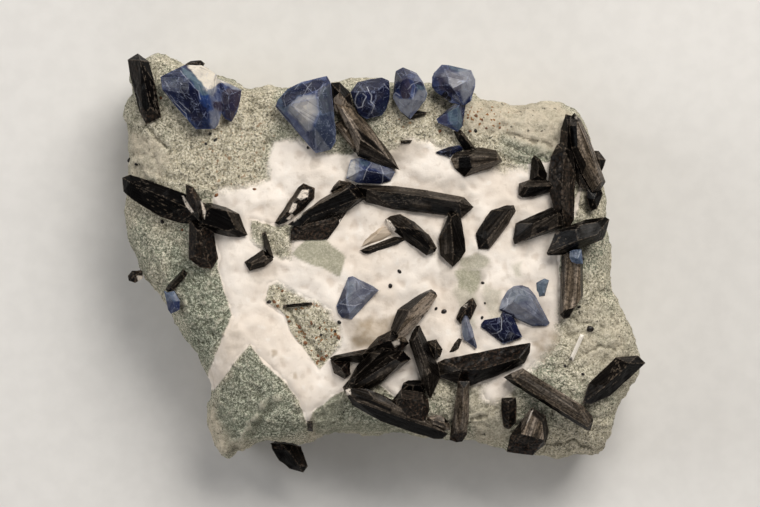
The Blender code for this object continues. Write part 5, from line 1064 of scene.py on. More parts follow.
# The benitoite: blue crystals with flat three-sided faces. The glassy blue turns milky, grey or
# teal from place to place inside each crystal, and white veins run through it.
BENITOITE_CLOUDS = {
    "benitoite_upper_left_twin": [
        ("blue", 0.90, 1.2, [(-48.2, 46.4), (-45.8, 45.4), (-43.2, 41.4), (-42.2, 37.4), (-42.5, 32.6), (-45.2, 32.6), (-45.0, 37.4), (-46.8, 40.9)]),
        ("blue", 0.50, 1.2, [(-54.8, 43.4), (-51.8, 41.4), (-48.2, 35.9), (-46.2, 32.9), (-48.2, 33.4), (-51.8, 38.4)]),
        ("deep", 0.60, 1.2, [(-54.5, 42.9), (-51.8, 44.9), (-48.2, 44.9), (-45.5, 40.4), (-43.2, 38.4), (-43.2, 33.1), (-45.8, 32.6), (-48.2, 35.9),
                             (-51.2, 38.4), (-54.2, 40.9)]),
        ("deep", 1.00, 0.9, [(-50.8, 44.1), (-48.8, 44.9), (-46.0, 42.4), (-45.5, 39.4), (-43.8, 38.4), (-43.8, 36.1), (-45.8, 35.9),
                             (-47.8, 36.4), (-49.2, 39.4), (-50.8, 41.9)]),
        ("deep", 0.70, 0.8, [(-52.8, 47.9), (-50.8, 48.9), (-50.2, 47.4), (-51.2, 46.9)]),
        ("teal", 0.95, 0.8, [(-50.5, 48.6), (-48.8, 47.9), (-45.8, 45.4), (-42.8, 43.4), (-42.8, 41.6), (-45.2, 41.4), (-47.0, 43.9), (-49.8, 46.9)]),
        ("deep", 0.60, 0.8, [(-55.2, 45.9), (-51.2, 47.9), (-49.2, 44.4), (-51.2, 42.4), (-54.2, 42.4)]),
        ("teal", 0.35, 0.8, [(-54.2, 45.9), (-52.2, 47.1), (-51.0, 45.4), (-52.8, 43.9)]),
        ("milk", 1.00, 0.7, [(-49.0, 49.4), (-44.5, 49.4), (-41.8, 47.4), (-35.8, 45.1), (-37.2, 44.1), (-40.2, 44.9), (-42.2, 43.6), (-43.8, 42.4),
                             (-45.2, 44.6), (-47.5, 46.9)]),
        ("pale", 0.75, 1.0, [(-44.8, 44.4), (-41.8, 44.4), (-41.5, 42.4), (-42.2, 41.1), (-43.8, 41.9), (-45.2, 42.9)]),
        ("pale", 0.80, 0.6, [(-40.2, 45.4), (-35.5, 44.6), (-35.0, 42.6), (-37.8, 43.1), (-39.8, 44.1)]),
        ("pale", 0.60, 1.2, [(-43.5, 37.4), (-41.5, 38.4), (-40.5, 36.4), (-41.5, 32.6), (-43.2, 32.6)]),
        ("violet", 0.85, 0.8, [(-42.5, 40.1), (-40.0, 40.1), (-39.5, 37.4), (-42.0, 37.6)]),
        ("violet", 0.90, 0.6, [(-40.2, 42.1), (-39.0, 43.1), (-35.2, 42.9), (-36.0, 38.9), (-37.8, 34.9), (-39.2, 35.9), (-39.8, 39.4)]),
        ("deep", 0.45, 0.8, [(-39.8, 41.9), (-37.2, 42.4), (-37.2, 37.4), (-38.8, 36.4)]),
        ("violet", 0.70, 0.8, [(-48.2, 37.4), (-45.8, 37.4), (-45.8, 34.9), (-47.8, 34.9)]),
    ],
    "benitoite_large_crystal": [
        ("blue", 0.35, 1.0, [(-26.5, 38.4), (-24.8, 38.9), (-19.2, 30.4), (-12.8, 27.9), (-17.8, 27.4), (-21.8, 31.4)]),
        ("deep", 0.85, 1.0, [(-25.8, 40.9), (-22.8, 43.4), (-16.2, 45.6), (-13.8, 45.1), (-16.8, 42.4), (-20.8, 41.4), (-23.0, 39.4), (-24.8, 38.4)]),
        ("teal", 0.55, 1.5, [(-27.0, 40.4), (-24.8, 42.6), (-20.8, 44.6), (-19.8, 41.9), (-23.0, 38.9), (-24.8, 36.4)]),
        ("teal", 0.40, 1.5, [(-16.2, 42.9), (-13.2, 44.4), (-12.0, 36.0), (-11.5, 31.9), (-12.8, 27.6), (-15.8, 27.6),
                             (-18.2, 31.4), (-16.4, 36.4)]),
        ("milk", 0.45, 2.5, [(-22.8, 38.4), (-20.2, 40.4), (-17.2, 40.9), (-16.8, 37.4), (-18.2, 34.4), (-20.2, 34.4)]),
        ("pale", 1.00, 1.3, [(-23.2, 39.4), (-19.8, 41.4), (-16.8, 41.6), (-16.0, 37.4), (-17.8, 33.4), (-19.2, 32.1), (-21.2, 35.1),
                             (-23.8, 37.6)]),
        ("pale", 0.25, 0.6, [(-26.8, 39.9), (-24.8, 37.9), (-20.8, 33.4), (-18.0, 29.6), (-19.2, 29.6), (-23.8, 35.1), (-26.8, 38.4)]),
        ("violet", 0.85, 0.5, [(-16.2, 42.9), (-13.2, 44.4), (-12.2, 37.4), (-15.2, 36.9), (-16.5, 39.4)]),
        ("violet", 0.45, 1.0, [(-16.0, 36.4), (-12.8, 37.4), (-11.5, 31.9), (-12.8, 27.6), (-15.8, 27.6), (-17.5, 31.4)]),
        ("deep", 0.40, 1.0, [(-16.0, 36.4), (-12.8, 37.4), (-11.5, 31.9), (-12.8, 27.6), (-15.8, 27.6), (-17.5, 31.4)]),
        ("deep", 0.55, 1.2, [(-19.2, 32.4), (-16.2, 33.4), (-12.2, 31.9), (-12.8, 27.4), (-17.8, 27.4)]),
    ],
    "benitoite_ringed_crystal": [
        ("blue", 0.60, 1.4, [(-7.8, 41.4), (-5.2, 42.4), (-2.8, 41.4), (-2.8, 37.4), (-6.2, 36.9)]),
        ("deep", 0.75, 0.8, [(-8.2, 45.4), (2.2, 46.4), (2.8, 40.4), (0.8, 37.4), (-2.8, 35.4), (-7.8, 37.4)]),
        ("pale", 0.65, 0.6, [(-7.5, 44.4), (-5.8, 44.9), (-4.2, 43.4), (-5.2, 42.1), (-6.8, 41.1)]),
        ("violet", 0.95, 0.4, [(-2.2, 42.4), (1.2, 43.1), (0.8, 42.1), (-2.2, 38.9), (-2.8, 40.6)]),
        ("pale", 0.30, 0.4, [(-2.2, 42.4), (1.2, 43.1), (0.8, 42.1), (-2.2, 38.9), (-2.8, 40.6)]),
        ("pale", 0.45, 0.5, [(-5.5, 40.1), (-3.8, 40.4), (-3.5, 38.6), (-5.2, 38.4)]),
        ("teal", 0.40, 0.8, [(-2.2, 38.1), (1.2, 40.4), (1.0, 37.1), (-1.8, 35.4)]),
        ("dark", 0.45, 0.5, [(-7.5, 38.6), (-5.2, 37.6), (-3.8, 38.1), (-2.8, 37.4), (-4.8, 36.1), (-7.0, 37.1)]),
    ],
    "benitoite_top_point": [
        ("blue", 0.80, 0.6, [(2.5, 47.4), (4.2, 48.6), (6.0, 47.4), (4.8, 45.4), (3.8, 42.4), (2.8, 42.1), (2.2, 44.4)]),
        ("deep", 0.80, 0.8, [(2.5, 47.4), (4.2, 48.6), (6.0, 47.4), (4.8, 45.4), (3.8, 42.4), (2.8, 42.1), (2.2, 44.4)]),
        ("deep", 0.70, 0.8, [(2.2, 48.9), (7.0, 48.4), (6.0, 45.4), (3.8, 41.9), (2.0, 42.9)]),
        ("violet", 0.80, 0.5, [(4.2, 45.4), (6.2, 46.1), (7.2, 43.4), (6.8, 40.9), (5.2, 40.1), (4.0, 42.4)]),
        ("pale", 0.80, 1.0, [(2.2, 41.9), (4.2, 40.9), (7.2, 40.4), (9.0, 42.9), (11.0, 42.9), (10.5, 39.4), (7.8, 37.4),
                             (5.8, 35.6), (3.2, 38.6)]),
        ("teal", 0.60, 0.8, [(8.2, 44.4), (11.0, 43.4), (11.0, 40.9), (8.8, 40.4)]),
        ("violet", 0.40, 0.8, [(5.0, 39.4), (8.2, 39.4), (6.8, 35.6)]),
    ],
    "benitoite_top_right_pair": [
        ("deep", 0.45, 1.0, [(12.0, 46.4), (14.8, 49.1), (16.0, 48.4), (14.2, 45.4), (13.2, 43.4)]),
        ("deep", 0.70, 0.6, [(14.2, 44.9), (16.8, 44.4), (18.8, 41.1), (19.8, 39.4), (18.0, 39.9), (15.8, 42.4)]),
        ("dark", 1.00, 0.3, [(14.5, 41.6), (15.8, 42.4), (17.0, 40.9), (17.0, 39.6), (15.5, 40.1)]),
        ("pale", 0.75, 1.0, [(18.5, 47.4), (21.8, 48.1), (23.2, 45.4), (22.0, 41.6), (20.0, 39.4), (19.2, 42.4), (19.8, 45.4)]),
        ("violet", 0.90, 0.8, [(16.0, 46.9), (21.2, 45.9), (19.2, 42.4), (16.8, 42.9)]),
        ("violet", 0.75, 1.4, [(13.2, 46.4), (15.8, 47.9), (19.8, 46.4), (19.2, 42.4), (16.8, 41.4), (14.2, 42.9)]),
        ("pale", 0.45, 1.4, [(14.2, 46.9), (16.2, 47.9), (20.8, 46.9), (19.8, 42.4), (16.8, 42.9)]),
        ("violet", 0.45, 1.0, [(15.8, 47.4), (19.8, 46.4), (19.2, 42.9), (16.8, 43.9)]),
        ("teal", 0.60, 0.8, [(15.8, 49.1), (21.8, 48.1), (20.8, 46.9), (17.2, 47.9)]),
        ("teal", 0.70, 0.6, [(15.8, 37.4), (19.0, 39.1), (20.0, 35.4), (19.5, 32.6), (17.2, 33.4)]),
        ("violet", 0.55, 0.6, [(13.2, 35.6), (15.8, 37.1), (16.5, 34.4), (14.8, 34.1)]),
    ],
    "benitoite_beside_the_prism": [
        ("pale", 1.00, 0.7, [(-9.5, 20.6), (-8.2, 24.9), (-7.2, 26.4), (-5.8, 25.9), (-6.2, 21.4), (-7.8, 19.6)]),
        ("milk", 0.55, 0.7, [(-9.2, 21.4), (-8.2, 24.6), (-7.0, 25.4), (-6.8, 22.4), (-8.0, 20.4)]),
        ("teal", 0.55, 0.5, [(-5.8, 25.4), (-3.2, 24.9), (-3.8, 23.4), (-5.8, 24.4)]),
        ("deep", 0.80, 0.7, [(-4.5, 22.4), (-3.8, 23.1), (-0.8, 22.4), (0.0, 21.4), (2.0, 20.1), (0.8, 19.1), (-2.8, 18.9),
                             (-5.2, 19.9), (-5.0, 21.4)]),
        ("pale", 0.45, 0.6, [(-2.8, 24.9), (2.8, 22.9), (2.5, 20.4), (0.2, 21.6), (-0.8, 22.6), (-3.5, 23.4)]),
        ("violet", 0.45, 0.6, [(-2.8, 24.9), (2.8, 22.9), (2.5, 20.4), (0.2, 21.6), (-0.8, 22.6), (-3.5, 23.4)]),
    ],
    "benitoite_dark_shard": [
        ("deep", 0.90, 0.5, [(11.8, 29.4), (21.8, 30.4), (21.8, 25.4), (11.8, 25.4)]),
        ("dark", 0.65, 0.6, [(12.2, 28.9), (17.2, 28.6), (17.2, 25.6), (12.2, 25.9)]),
        ("teal", 0.45, 0.6, [(17.2, 29.4), (20.0, 28.9), (20.8, 27.9), (17.8, 27.1)]),
    ],
    "benitoite_center_tablet": [
        ("pale", 0.55, 0.5, [(-12.2, -2.6), (0.2, -2.6), (0.2, -15.6), (-12.2, -15.6)]),
        ("violet", 0.55, 0.5, [(-8.8, -5.1), (0.2, -3.6), (0.2, -9.6), (-4.2, -11.1), (-8.8, -10.6)]),
        ("deep", 0.65, 0.4, [(-10.0, -6.6), (-9.2, -7.6), (-9.2, -10.6), (-8.5, -12.6), (-8.5, -14.6), (-10.8, -14.6), (-11.8, -11.6),
                             (-10.5, -8.1)]),
        ("teal", 0.65, 1.0, [(-9.2, -4.6), (-6.8, -5.6), (-7.8, -8.6), (-8.8, -10.6), (-9.2, -8.6)]),
        ("teal", 0.45, 0.8, [(-8.8, -11.4), (-4.8, -10.9), (-7.8, -14.6)]),
    ],
    "benitoite_right_pair": [
        ("pale", 0.60, 1.2, [(28.8, -5.6), (36.8, -5.6), (41.8, -15.6), (35.8, -16.1), (28.8, -12.1)]),
        ("teal", 0.70, 1.2, [(31.2, -6.6), (35.8, -6.6), (37.2, -9.6), (33.2, -10.6), (31.2, -9.1)]),
        ("violet", 0.85, 1.4, [(30.0, -11.6), (32.2, -9.6), (36.8, -12.1), (38.2, -15.1), (34.2, -13.6)]),
        ("deep", 0.45, 1.0, [(36.8, -8.1), (39.5, -11.6), (41.8, -15.4), (39.2, -16.4), (36.2, -14.9), (38.2, -12.6)]),
        ("deep", 0.95, 0.4, [(23.8, -14.1), (29.2, -11.9), (32.8, -13.1), (35.2, -19.1), (30.0, -21.1), (23.8, -17.1)]),
        ("dark", 0.45, 0.6, [(24.2, -15.1), (27.2, -16.1), (29.2, -17.9), (31.8, -18.1), (34.8, -18.9), (30.0, -20.9)]),
        ("teal", 0.80, 0.4, [(27.8, -15.4), (29.2, -14.1), (29.2, -16.6), (27.8, -16.4)]),
        ("violet", 0.70, 0.5, [(29.8, -12.9), (32.0, -14.6), (32.5, -17.6), (30.2, -17.1)]),
    ],
    "benitoite_narrow_crystal": [
        ("pale", 0.50, 0.6, [(18.8, -12.6), (20.8, -12.4), (24.2, -22.1), (21.8, -21.1), (19.2, -19.1)]),
        ("teal", 0.45, 0.8, [(19.5, -14.1), (21.0, -15.6), (21.2, -19.4), (20.0, -19.1)]),
        ("deep", 0.60, 0.5, [(21.0, -19.9), (22.8, -18.4), (23.8, -21.9), (22.2, -21.4)]),
        ("violet", 0.50, 0.5, [(21.0, -19.9), (22.8, -18.4), (23.8, -21.9), (22.2, -21.4)]),
    ],
    "benitoite_small_tablet": [
        ("teal", 0.70, 0.5, [(36.8, -2.1), (42.2, -2.1), (42.2, -10.1), (36.8, -10.1)]),
        ("violet", 0.55, 0.5, [(36.8, -2.1), (42.2, -2.1), (42.2, -10.1), (36.8, -10.1)]),
        ("pale", 0.25, 0.5, [(37.2, -3.1), (42.2, -3.1), (42.2, -9.6), (37.2, -9.6)]),
        ("violet", 0.35, 0.6, [(37.2, -5.1), (39.2, -4.6), (39.5, -9.6), (37.8, -9.6)]),
    ],
    "benitoite_on_neptunite": [
        ("teal", 0.50, 0.6, [(45.8, 3.4), (50.8, 3.4), (50.8, -1.1), (45.8, -1.1)]),
        ("deep", 0.40, 0.6, [(46.2, 2.9), (48.2, 2.4), (48.2, -0.1), (46.2, 0.4)]),
    ],
    "benitoite_left_edge_crystal": [
        ("deep", 0.45, 0.8, [(-54.8, -9.6), (-50.2, -9.6), (-51.2, -14.1), (-54.8, -14.1)]),
        ("teal", 0.45, 0.8, [(-54.8, -6.1), (-50.2, -6.1), (-49.8, -10.1), (-54.8, -10.1)]),
    ],
}

# White veins, pale edges and dark rims: rows of look, strength, half width and line. Some dark rims are painted shadow
# along the crystals' lower edges.
BENITOITE_VEINS = {
    "benitoite_upper_left_twin": [
        ("vein", 0.75, 0.16, [(-50.5, 47.6), (-49.0, 45.6), (-46.0, 42.4), (-45.5, 40.4)]),
        ("vein", 0.60, 0.14, [(-54.5, 42.6), (-52.5, 39.9)]),
        ("vein", 0.60, 0.14, [(-53.2, 41.6), (-51.8, 39.9)]),
        ("vein", 0.90, 0.16, [(-52.2, 39.9), (-49.2, 36.9), (-48.8, 34.9)]),
        ("vein", 0.80, 0.16, [(-50.8, 39.9), (-48.2, 37.4)]),
        ("vein", 0.80, 0.16, [(-54.5, 45.1), (-53.2, 43.1)]),
        ("vein", 0.40, 0.14, [(-52.0, 45.9), (-50.2, 42.6), (-49.0, 40.6)]),
        ("vein", 0.60, 0.14, [(-40.5, 41.1), (-40.0, 39.4)]),
        ("vein", 1.00, 0.20, [(-50.5, 44.5), (-50.2, 44.2)]),
        ("vein", 0.45, 0.14, [(-45.8, 43.9), (-45.8, 42.4)]),
        # Painted shadow under the twin's bottom edge.
        ("dark", 0.80, 0.18, [(-44.0, 32.8), (-41.5, 33.0)]),
        ("dark", 0.45, 0.30, [(-55.2, 42.9), (-51.2, 38.4), (-48.2, 35.6), (-47.2, 33.6)]),
    ],
    "benitoite_large_crystal": [
        ("vein", 0.60, 0.14, [(-22.0, 42.9), (-21.0, 44.4), (-19.5, 44.9)]),
        ("vein", 0.70, 0.14, [(-20.0, 41.1), (-18.8, 43.4), (-17.8, 44.6)]),
        ("vein", 0.60, 0.14, [(-19.2, 44.1), (-18.5, 42.4)]),
        ("vein", 0.50, 0.16, [(-16.8, 42.4), (-14.2, 44.4)]),
        ("vein", 0.55, 0.14, [(-18.8, 40.9), (-18.5, 32.9)]),
        ("vein", 0.50, 0.14, [(-24.8, 40.4), (-24.2, 38.4)]),
        # Painted shadow along the crystal's lower-left edge.
        ("dark", 0.85, 0.30, [(-26.8, 38.9), (-23.2, 34.9), (-20.8, 31.4), (-17.8, 27.6)]),
    ],
    "benitoite_ringed_crystal": [
        ("vein", 0.95, 0.22, [(-6.2, 42.4), (-6.8, 40.9), (-7.0, 39.4), (-6.2, 38.4), (-5.2, 38.6), (-4.8, 39.9), (-4.2, 41.1), (-5.0, 41.9)]),
        ("vein", 1.00, 0.18, [(-4.0, 43.6), (-3.5, 42.4), (-2.8, 41.4), (-3.0, 39.9), (-2.2, 38.9), (-2.8, 37.1)]),
        ("vein", 0.60, 0.14, [(0.2, 44.4), (1.5, 42.9)]),
        ("vein", 0.60, 0.14, [(1.8, 44.6), (2.0, 41.4)]),
        ("vein", 0.50, 0.14, [(-6.2, 44.1), (-5.2, 42.9)]),
        ("dark", 0.60, 0.25, [(-2.0, 38.9), (-0.2, 40.1), (1.2, 41.6)]),
    ],
    "benitoite_top_point": [
        ("vein", 0.70, 0.25, [(2.2, 41.1), (3.2, 42.1), (4.2, 41.4)]),
        ("vein", 0.60, 0.25, [(6.8, 47.6), (8.8, 46.6), (10.2, 44.4), (11.0, 41.9)]),
        ("vein", 0.70, 0.16, [(6.2, 42.9), (7.2, 44.1), (8.8, 44.9)]),
        ("vein", 0.50, 0.20, [(8.0, 43.4), (7.5, 40.6)]),
        ("vein", 0.50, 0.20, [(3.8, 40.1), (5.2, 38.9)]),
    ],
    "benitoite_top_right_pair": [
        ("deep", 1.00, 0.45, [(16.8, 43.9), (18.0, 41.4), (19.5, 39.1)]),
        ("dark", 0.55, 0.30, [(17.2, 42.4), (18.2, 40.9), (19.5, 39.1)]),
        ("vein", 0.50, 0.16, [(18.8, 47.9), (21.8, 47.8), (23.0, 45.6)]),
        ("dark", 0.50, 0.25, [(13.8, 34.6), (17.2, 33.0)]),
        ("dark", 0.50, 0.22, [(15.8, 37.1), (18.5, 39.0)]),
    ],
    "benitoite_beside_the_prism": [
        ("vein", 1.00, 0.16, [(-2.9, 25.4), (-3.0, 24.4), (-4.0, 23.1), (-5.0, 20.4)]),
        ("vein", 1.00, 0.16, [(-1.2, 24.9), (-0.5, 23.6), (0.1, 21.9), (-0.2, 19.6)]),
        ("vein", 0.50, 0.14, [(-6.8, 24.4), (-6.2, 21.4)]),
        ("dark", 0.90, 0.25, [(0.8, 19.6), (2.5, 20.5)]),
        ("dark", 0.50, 0.18, [(-6.2, 25.1), (-5.0, 23.4)]),
    ],
    "benitoite_dark_shard": [
        ("vein", 0.30, 0.12, [(14.5, 28.4), (14.5, 26.6)]),
        ("vein", 0.30, 0.12, [(15.8, 28.1), (16.0, 26.4)]),
    ],
    "benitoite_center_tablet": [
        ("vein", 0.90, 0.16, [(-10.8, -10.5), (-9.0, -10.9), (-6.8, -10.9), (-5.2, -10.4)]),
        ("vein", 0.50, 0.16, [(-9.2, -8.1), (-9.0, -10.6)]),
        ("dark", 0.55, 0.25, [(-9.2, -4.4), (-7.8, -3.8), (-4.2, -4.9), (-2.2, -6.4), (-1.0, -7.1)]),
        ("dark", 0.35, 0.20, [(-1.0, -7.1), (-2.8, -9.4), (-4.2, -10.9)]),
        ("dark", 0.45, 0.25, [(-10.0, -6.9), (-11.0, -9.6), (-11.5, -11.6), (-10.5, -14.1), (-8.0, -14.4)]),
    ],
    "benitoite_right_pair": [
        ("vein", 0.95, 0.18, [(30.0, -12.1), (31.0, -11.1), (31.2, -9.4), (30.8, -9.1)]),
        ("vein", 0.60, 0.14, [(32.0, -7.6), (31.2, -9.4)]),
        ("vein", 0.55, 0.16, [(32.8, -6.1), (35.2, -7.1), (37.2, -8.4)]),
        ("vein", 0.45, 0.12, [(30.8, -12.4), (33.2, -13.4), (35.8, -14.1)]),
        ("vein", 0.30, 0.12, [(32.2, -10.4), (35.8, -11.9), (38.8, -14.1)]),
        ("vein", 0.40, 0.16, [(37.0, -6.9), (39.5, -10.6), (41.5, -15.1)]),
        ("dark", 0.90, 0.35, [(29.2, -11.9), (31.2, -12.9), (33.2, -14.2), (36.2, -15.6), (38.5, -16.2), (40.2, -16.0)]),
        ("dark", 0.75, 0.35, [(32.5, -5.9), (34.2, -5.9), (36.5, -6.6)]),
        ("vein", 0.95, 0.18, [(29.2, -13.4), (29.6, -14.6), (29.6, -16.9), (29.2, -17.4)]),
        ("vein", 0.80, 0.16, [(29.2, -17.4), (28.5, -17.9), (27.2, -18.1)]),
    ],
    "benitoite_narrow_crystal": [
        ("dark", 0.35, 0.20, [(20.8, -12.9), (22.0, -15.1), (22.8, -18.1), (23.6, -21.9)]),
        ("vein", 0.40, 0.14, [(20.2, -14.1), (21.2, -17.6), (20.8, -19.6)]),
    ],
    "benitoite_small_tablet": [("dark", 0.60, 0.22, [(38.2, -4.9), (38.5, -7.1), (39.0, -8.9), (40.5, -8.9)])],
    "benitoite_on_neptunite": [("dark", 0.40, 0.20, [(46.8, 1.9), (47.2, -0.1), (49.2, -0.4)])],
}

TINTS = {
    "blue": colour(40, 66, 120),
    "violet": colour(62, 54, 66),
    "teal": colour(92, 112, 124),
    "pale": colour(146, 148, 156),
    "deep": colour(6, 11, 42),
    "milk": colour(236, 226, 210),
    "vein": colour(206, 208, 218),
    # Dark: dark patches in the crystals, and the painted shadow of some dark rims.
    "dark": colour(8, 8, 16),
}
gem, tree, shader, where = new_material("blue_benitoite", 0.24, IOR=1.76, Transmission_Weight=0.25,
                                        Specular_IOR_Level=0.14)
made = placed(tree, streaks, Vector=where, Run=painted(tree, "run"), Fineness=1300.0)
mottle = add(tree, "TexNoise", None, Vector=where, Scale=520.0, Detail=4.0, Roughness=0.65).outputs["Fac"]
flaws = add(tree, "TexNoise", None, Vector=where, Scale=1700.0, Detail=2.0).outputs["Fac"]
shades = tinted(tree, rise(tree, mottle, 0.36, 0.64), colour(30, 42, 84), colour(82, 94, 132))
unsteady = maths(tree, 'MULTIPLY', maths(tree, 'SUBTRACT', mottle, 0.5), 1.6)
toned = rise(tree, painted(tree, "tone"), 0.0, 0.45, 0.0, 0.55)
shades = tinted(tree, toned, shades, colour(118, 124, 146))
toned = rise(tree, painted(tree, "tone"), 0.0, -0.45, 0.0, 0.75)
shades = tinted(tree, toned, shades, colour(12, 17, 46))
for name, tint in TINTS.items():
    share = painted(tree, name)
    if name not in ("vein", "dark"):
        share = maths(tree, 'MULTIPLY', share, maths(tree, 'ADD', unsteady, 1.0))
    shades = tinted(tree, rise(tree, share, 0.0, 1.0), shades, tint)
cells = add(tree, "TexVoronoi", {"feature": 'DISTANCE_TO_EDGE'}, Vector=where, Scale=430.0).outputs[0]
seams = maths(tree, 'MULTIPLY', rise(tree, cells, 0.035, 0.005), rise(tree, mottle, 0.46, 0.60, 0.0, 0.45))
shades = tinted(tree, seams, shades, colour(158, 166, 190))
cells = add(tree, "TexVoronoi", {"feature": 'F1'}, Vector=shifted(tree, where, 0.5), Scale=620.0)
patchy = rise(tree, add(tree, "SeparateColor", None, Color=cells.outputs["Color"]).outputs[0], 0.5, 0.95, 0.0, 0.28)
shades = tinted(tree, patchy, shades, colour(24, 32, 74))
fine_lines = rise(tree, made["Lines"], 0.56, 0.72, 0.0, 0.14)
shades = tinted(tree, fine_lines, shades, colour(150, 158, 182))
dark_lines = rise(tree, made["Lines"], 0.44, 0.32, 0.0, 0.40)
shades = tinted(tree, dark_lines, shades, colour(18, 22, 58))
shades = tinted(tree, rise(tree, flaws, 0.66, 0.74, 0.0, 0.3), shades, colour(180, 186, 204))
# A painted highlight along the crystal's edges.
painted_rim_highlight = maths(tree, 'MULTIPLY', painted(tree, "edge"), rise(tree, mottle, 0.44, 0.58, 0.0, 0.6))
shades = tinted(tree, painted_rim_highlight, shades, colour(150, 158, 184))
tree.links.new(shades, shader.inputs["Base Color"])
bump = add(tree, "Bump", None, Strength=0.2, Distance=0.0002, Height=made["Lines"])
tree.links.new(bump.outputs["Normal"], shader.inputs["Normal"])

for node, clouds in BENITOITE_CLOUDS.items():
    piece = crystal_of(node, node.replace("benitoite", "blue"), 0.28, 0.10, {}, {})
    # The edge value carries a painted highlight along the edges.
    paint(piece, "edge", edge_share(piece))
    chip(piece, 0.16, 0.0)
    plan = plan_of(piece)
    bent = plan + 0.22 * np.column_stack([wander(plan, 1.3, 80.0), wander(plan, 1.3, 90.0)])
    straighter = 0.7 * plan + 0.3 * bent
    shares = {name: np.zeros(len(plan)) for name in TINTS}
    for name, strength, softness, outline in clouds:
        shares[name] = np.maximum(shares[name], area_share(bent, [(strength, softness, outline)]))
    for name, strength, width, line in BENITOITE_VEINS.get(node, []):
        near = 0.72 * strength * (1.0 - soft_step(line_distance(straighter, line), 0.2 * width, 1.1 * width))
        shares[name] = np.maximum(shares[name], near)
    for name, values in shares.items():
        paint(piece, name, values)
    finish_edges(piece)
    piece.data.materials.append(gem)
    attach(piece, "root")
    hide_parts(node)


# Two natrolite crystals stand on their own: a pale tan wedge and a thin white stick.
wax, tree, shader, where = new_material("waxy_natrolite", 0.45, Transmission_Weight=0.1)
made = placed(tree, streaks, Vector=where, Run=painted(tree, "run"), Fineness=1200.0)
shades = tinted(tree, rise(tree, made["Lines"], 0.36, 0.64), colour(150, 132, 112), colour(192, 174, 152))
shades = tinted(tree, painted(tree, "white"), shades, colour(244, 236, 224))
shades = tinted(tree, painted(tree, "dark"), shades, colour(50, 40, 34))
tree.links.new(shades, shader.inputs["Base Color"])
bump = add(tree, "Bump", None, Strength=0.25, Distance=0.0002, Height=made["Lines"])
tree.links.new(bump.outputs["Normal"], shader.inputs["Normal"])
for node in ("natrolite_wedge", "natrolite_stick"):
    piece = crystal_of(node, node.replace("natrolite", "pale"), 0.35, 0.10, {}, {})
    chip(piece, 0.12, 0.0)
    plan = plan_of(piece)
    paint(piece, "white", np.full(len(plan), 1.0 if node == "natrolite_stick" else 0.0))
    paint(piece, "dark", area_share(plan, [(0.9, 0.3, [(46.0, -23.9), (47.2, -23.9), (47.5, -25.6), (45.8, -25.6)])]))
    finish_edges(piece)
    piece.data.materials.append(wax)
    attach(piece, "root")
    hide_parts(node)


# Specks and crumbs: grains of neptunite and of a rusty brown mineral that sit in the natrolite and
# on the stone. Each one is a small uneven lump, sunk a little into what it lies on.
BLACK_SPECKS = [
    ((4.0, -2.4), 0.55), ((1.8, -6.0), 0.6), ((13.2, -11.8), 0.4), ((15.1, -12.6), 0.65), ((-11.0, -15.2), 0.5),
    ((-11.9, -17.4), 0.35), ((-15.5, -18.3), 0.35), ((-28.5, -10.1), 0.55), ((24.9, -5.4), 0.4), ((25.5, -10.4), 0.3),
    ((24.8, -14.1), 0.4), ((49.0, -11.4), 0.4), ((51.8, -16.9), 0.85), ((-55.2, 9.9), 0.5), ((50.0, 0.6), 0.4),
    ((-42.0, 30.4), 0.5), ((-43.2, 31.9), 0.45), ((-44.2, 29.4), 0.4),     ((23.2, 32.6), 0.55), ((3.2, 45.4), 0.3), ((4.0, 40.1), 0.5), ((5.0, 40.9), 0.4), ((-18.8, 28.4), 0.4), ((-63.8, 25.4), 0.6),
    ((-61.8, 24.4), 0.5), ((50.0, -28.1), 0.4), ((45.5, -26.1), 0.4), ((-9.8, -37.6), 0.3), ((-44.2, 0.9), 0.4),
]
BROWN_SPECKS = [
    ((-27.3, -10.0), 0.5), ((-26.4, -11.1), 0.4), ((-25.2, -7.4), 0.35), ((-23.5, -15.0), 0.4), ((-21.0, -16.4), 0.55),
    ((-17.8, -15.4), 0.4), ((-15.8, -16.5), 0.3), ((-19.8, -18.9), 0.35), ((-19.5, -20.4), 0.5), ((-16.2, -23.6), 0.4),
    ((-15.3, -24.4), 0.5), ((-14.2, -23.6), 0.4), ((-16.2, -24.9), 0.3), ((-11.0, -19.0), 0.5), ((-13.0, -18.9), 0.3),
    ((-41.8, 16.6), 0.5), ((-32.2, 18.1), 0.4), ((-55.5, 40.9), 0.4), ((-50.2, 7.9), 0.4), ((14.2, 32.6), 0.45), ((21.8, 32.6), 0.4),
    ((23.2, 36.4), 0.4), ((24.8, 35.4), 0.35), ((29.2, 33.4), 0.35), ((21.2, 35.9), 0.3), ((25.8, 33.4), 0.3),
]


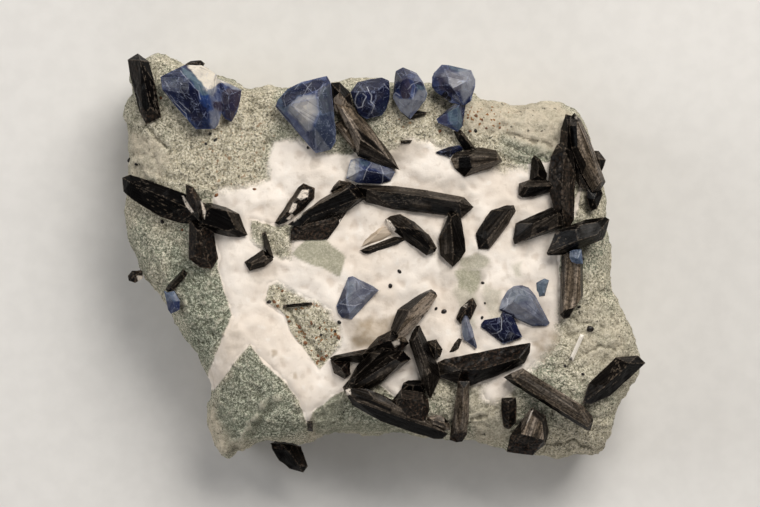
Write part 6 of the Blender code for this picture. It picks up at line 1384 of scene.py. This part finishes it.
def speck(name, x, y, size, turn):
    """One uneven lump, half sunk into what lies under it."""
    place = Vector(((x + DRAWING_SHIFT[0]) * MM, (y + DRAWING_SHIFT[1]) * MM, 0.2))
    hit = standing_on.ray_cast(place, Vector((0.0, 0.0, -1.0)))[0]
    if hit is None:
        print("nothing under", name, x, y)
        hit = Vector((place.x, place.y, 0.03))
    clear_selection()
    bpy.ops.mesh.primitive_ico_sphere_add(subdivisions=2, radius=size * MM)
    lump = bpy.context.object
    lump.name = name
    around = [Vector(p) for p in points_of(lump)]
    uneven = [p * (1.0 + 0.45 * noise.noise(p * 900.0 + Vector((turn, 0.0, 0.0)))) for p in around]
    flat = np.array(uneven) * (1.15, 0.85, 0.55)
    angle = turn * 2.4
    spun = np.column_stack([
        flat[:, 0] * math.cos(angle) - flat[:, 1] * math.sin(angle),
        flat[:, 0] * math.sin(angle) + flat[:, 1] * math.cos(angle), flat[:, 2]])
    move_points(lump, spun + np.array(hit) + (0.0, 0.0, 0.12 * size * MM))
    return lump


def surface_of(pieces):
    """A tree of all the faces of some pieces, to find what lies under a place."""
    places, faces = [], []
    for piece in pieces:
        start = len(places)
        places.extend(v.co.copy() for v in piece.data.vertices)
        faces.extend([start + k for k in face.vertices] for face in piece.data.polygons)
    return BVHTree.FromPolygons(places, faces)


standing_on = surface_of([rock, natrolite])
grit, tree, shader, where = new_material("rusty_grit", 0.6)
rust = add(tree, "TexNoise", None, Vector=where, Scale=2600.0, Detail=2.0).outputs["Fac"]
shade = tinted(tree, rise(tree, rust, 0.35, 0.65), colour(74, 44, 26), colour(134, 88, 50))
tree.links.new(shade, shader.inputs["Base Color"])
coal, tree, shader, where = new_material("black_grit", 0.35, Specular_IOR_Level=0.35)
soot = add(tree, "TexNoise", None, Vector=where, Scale=2600.0, Detail=2.0).outputs["Fac"]
shade = tinted(tree, rise(tree, soot, 0.35, 0.65), colour(14, 11, 9), colour(38, 30, 26))
tree.links.new(shade, shader.inputs["Base Color"])
for name, rows, finish in (("black_specks", BLACK_SPECKS, coal), ("brown_specks", BROWN_SPECKS, grit)):
    lumps = [speck(name, *place, size, 1.0 + k) for k, (place, size) in enumerate(rows)]
    clear_selection()
    for lump in lumps:
        lump.select_set(True)
    bpy.context.view_layer.objects.active = lumps[0]
    bpy.ops.object.join()
    bpy.ops.object.shade_smooth()
    lumps[0].name = name
    lumps[0].data.materials.append(finish)
    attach(lumps[0], "root")
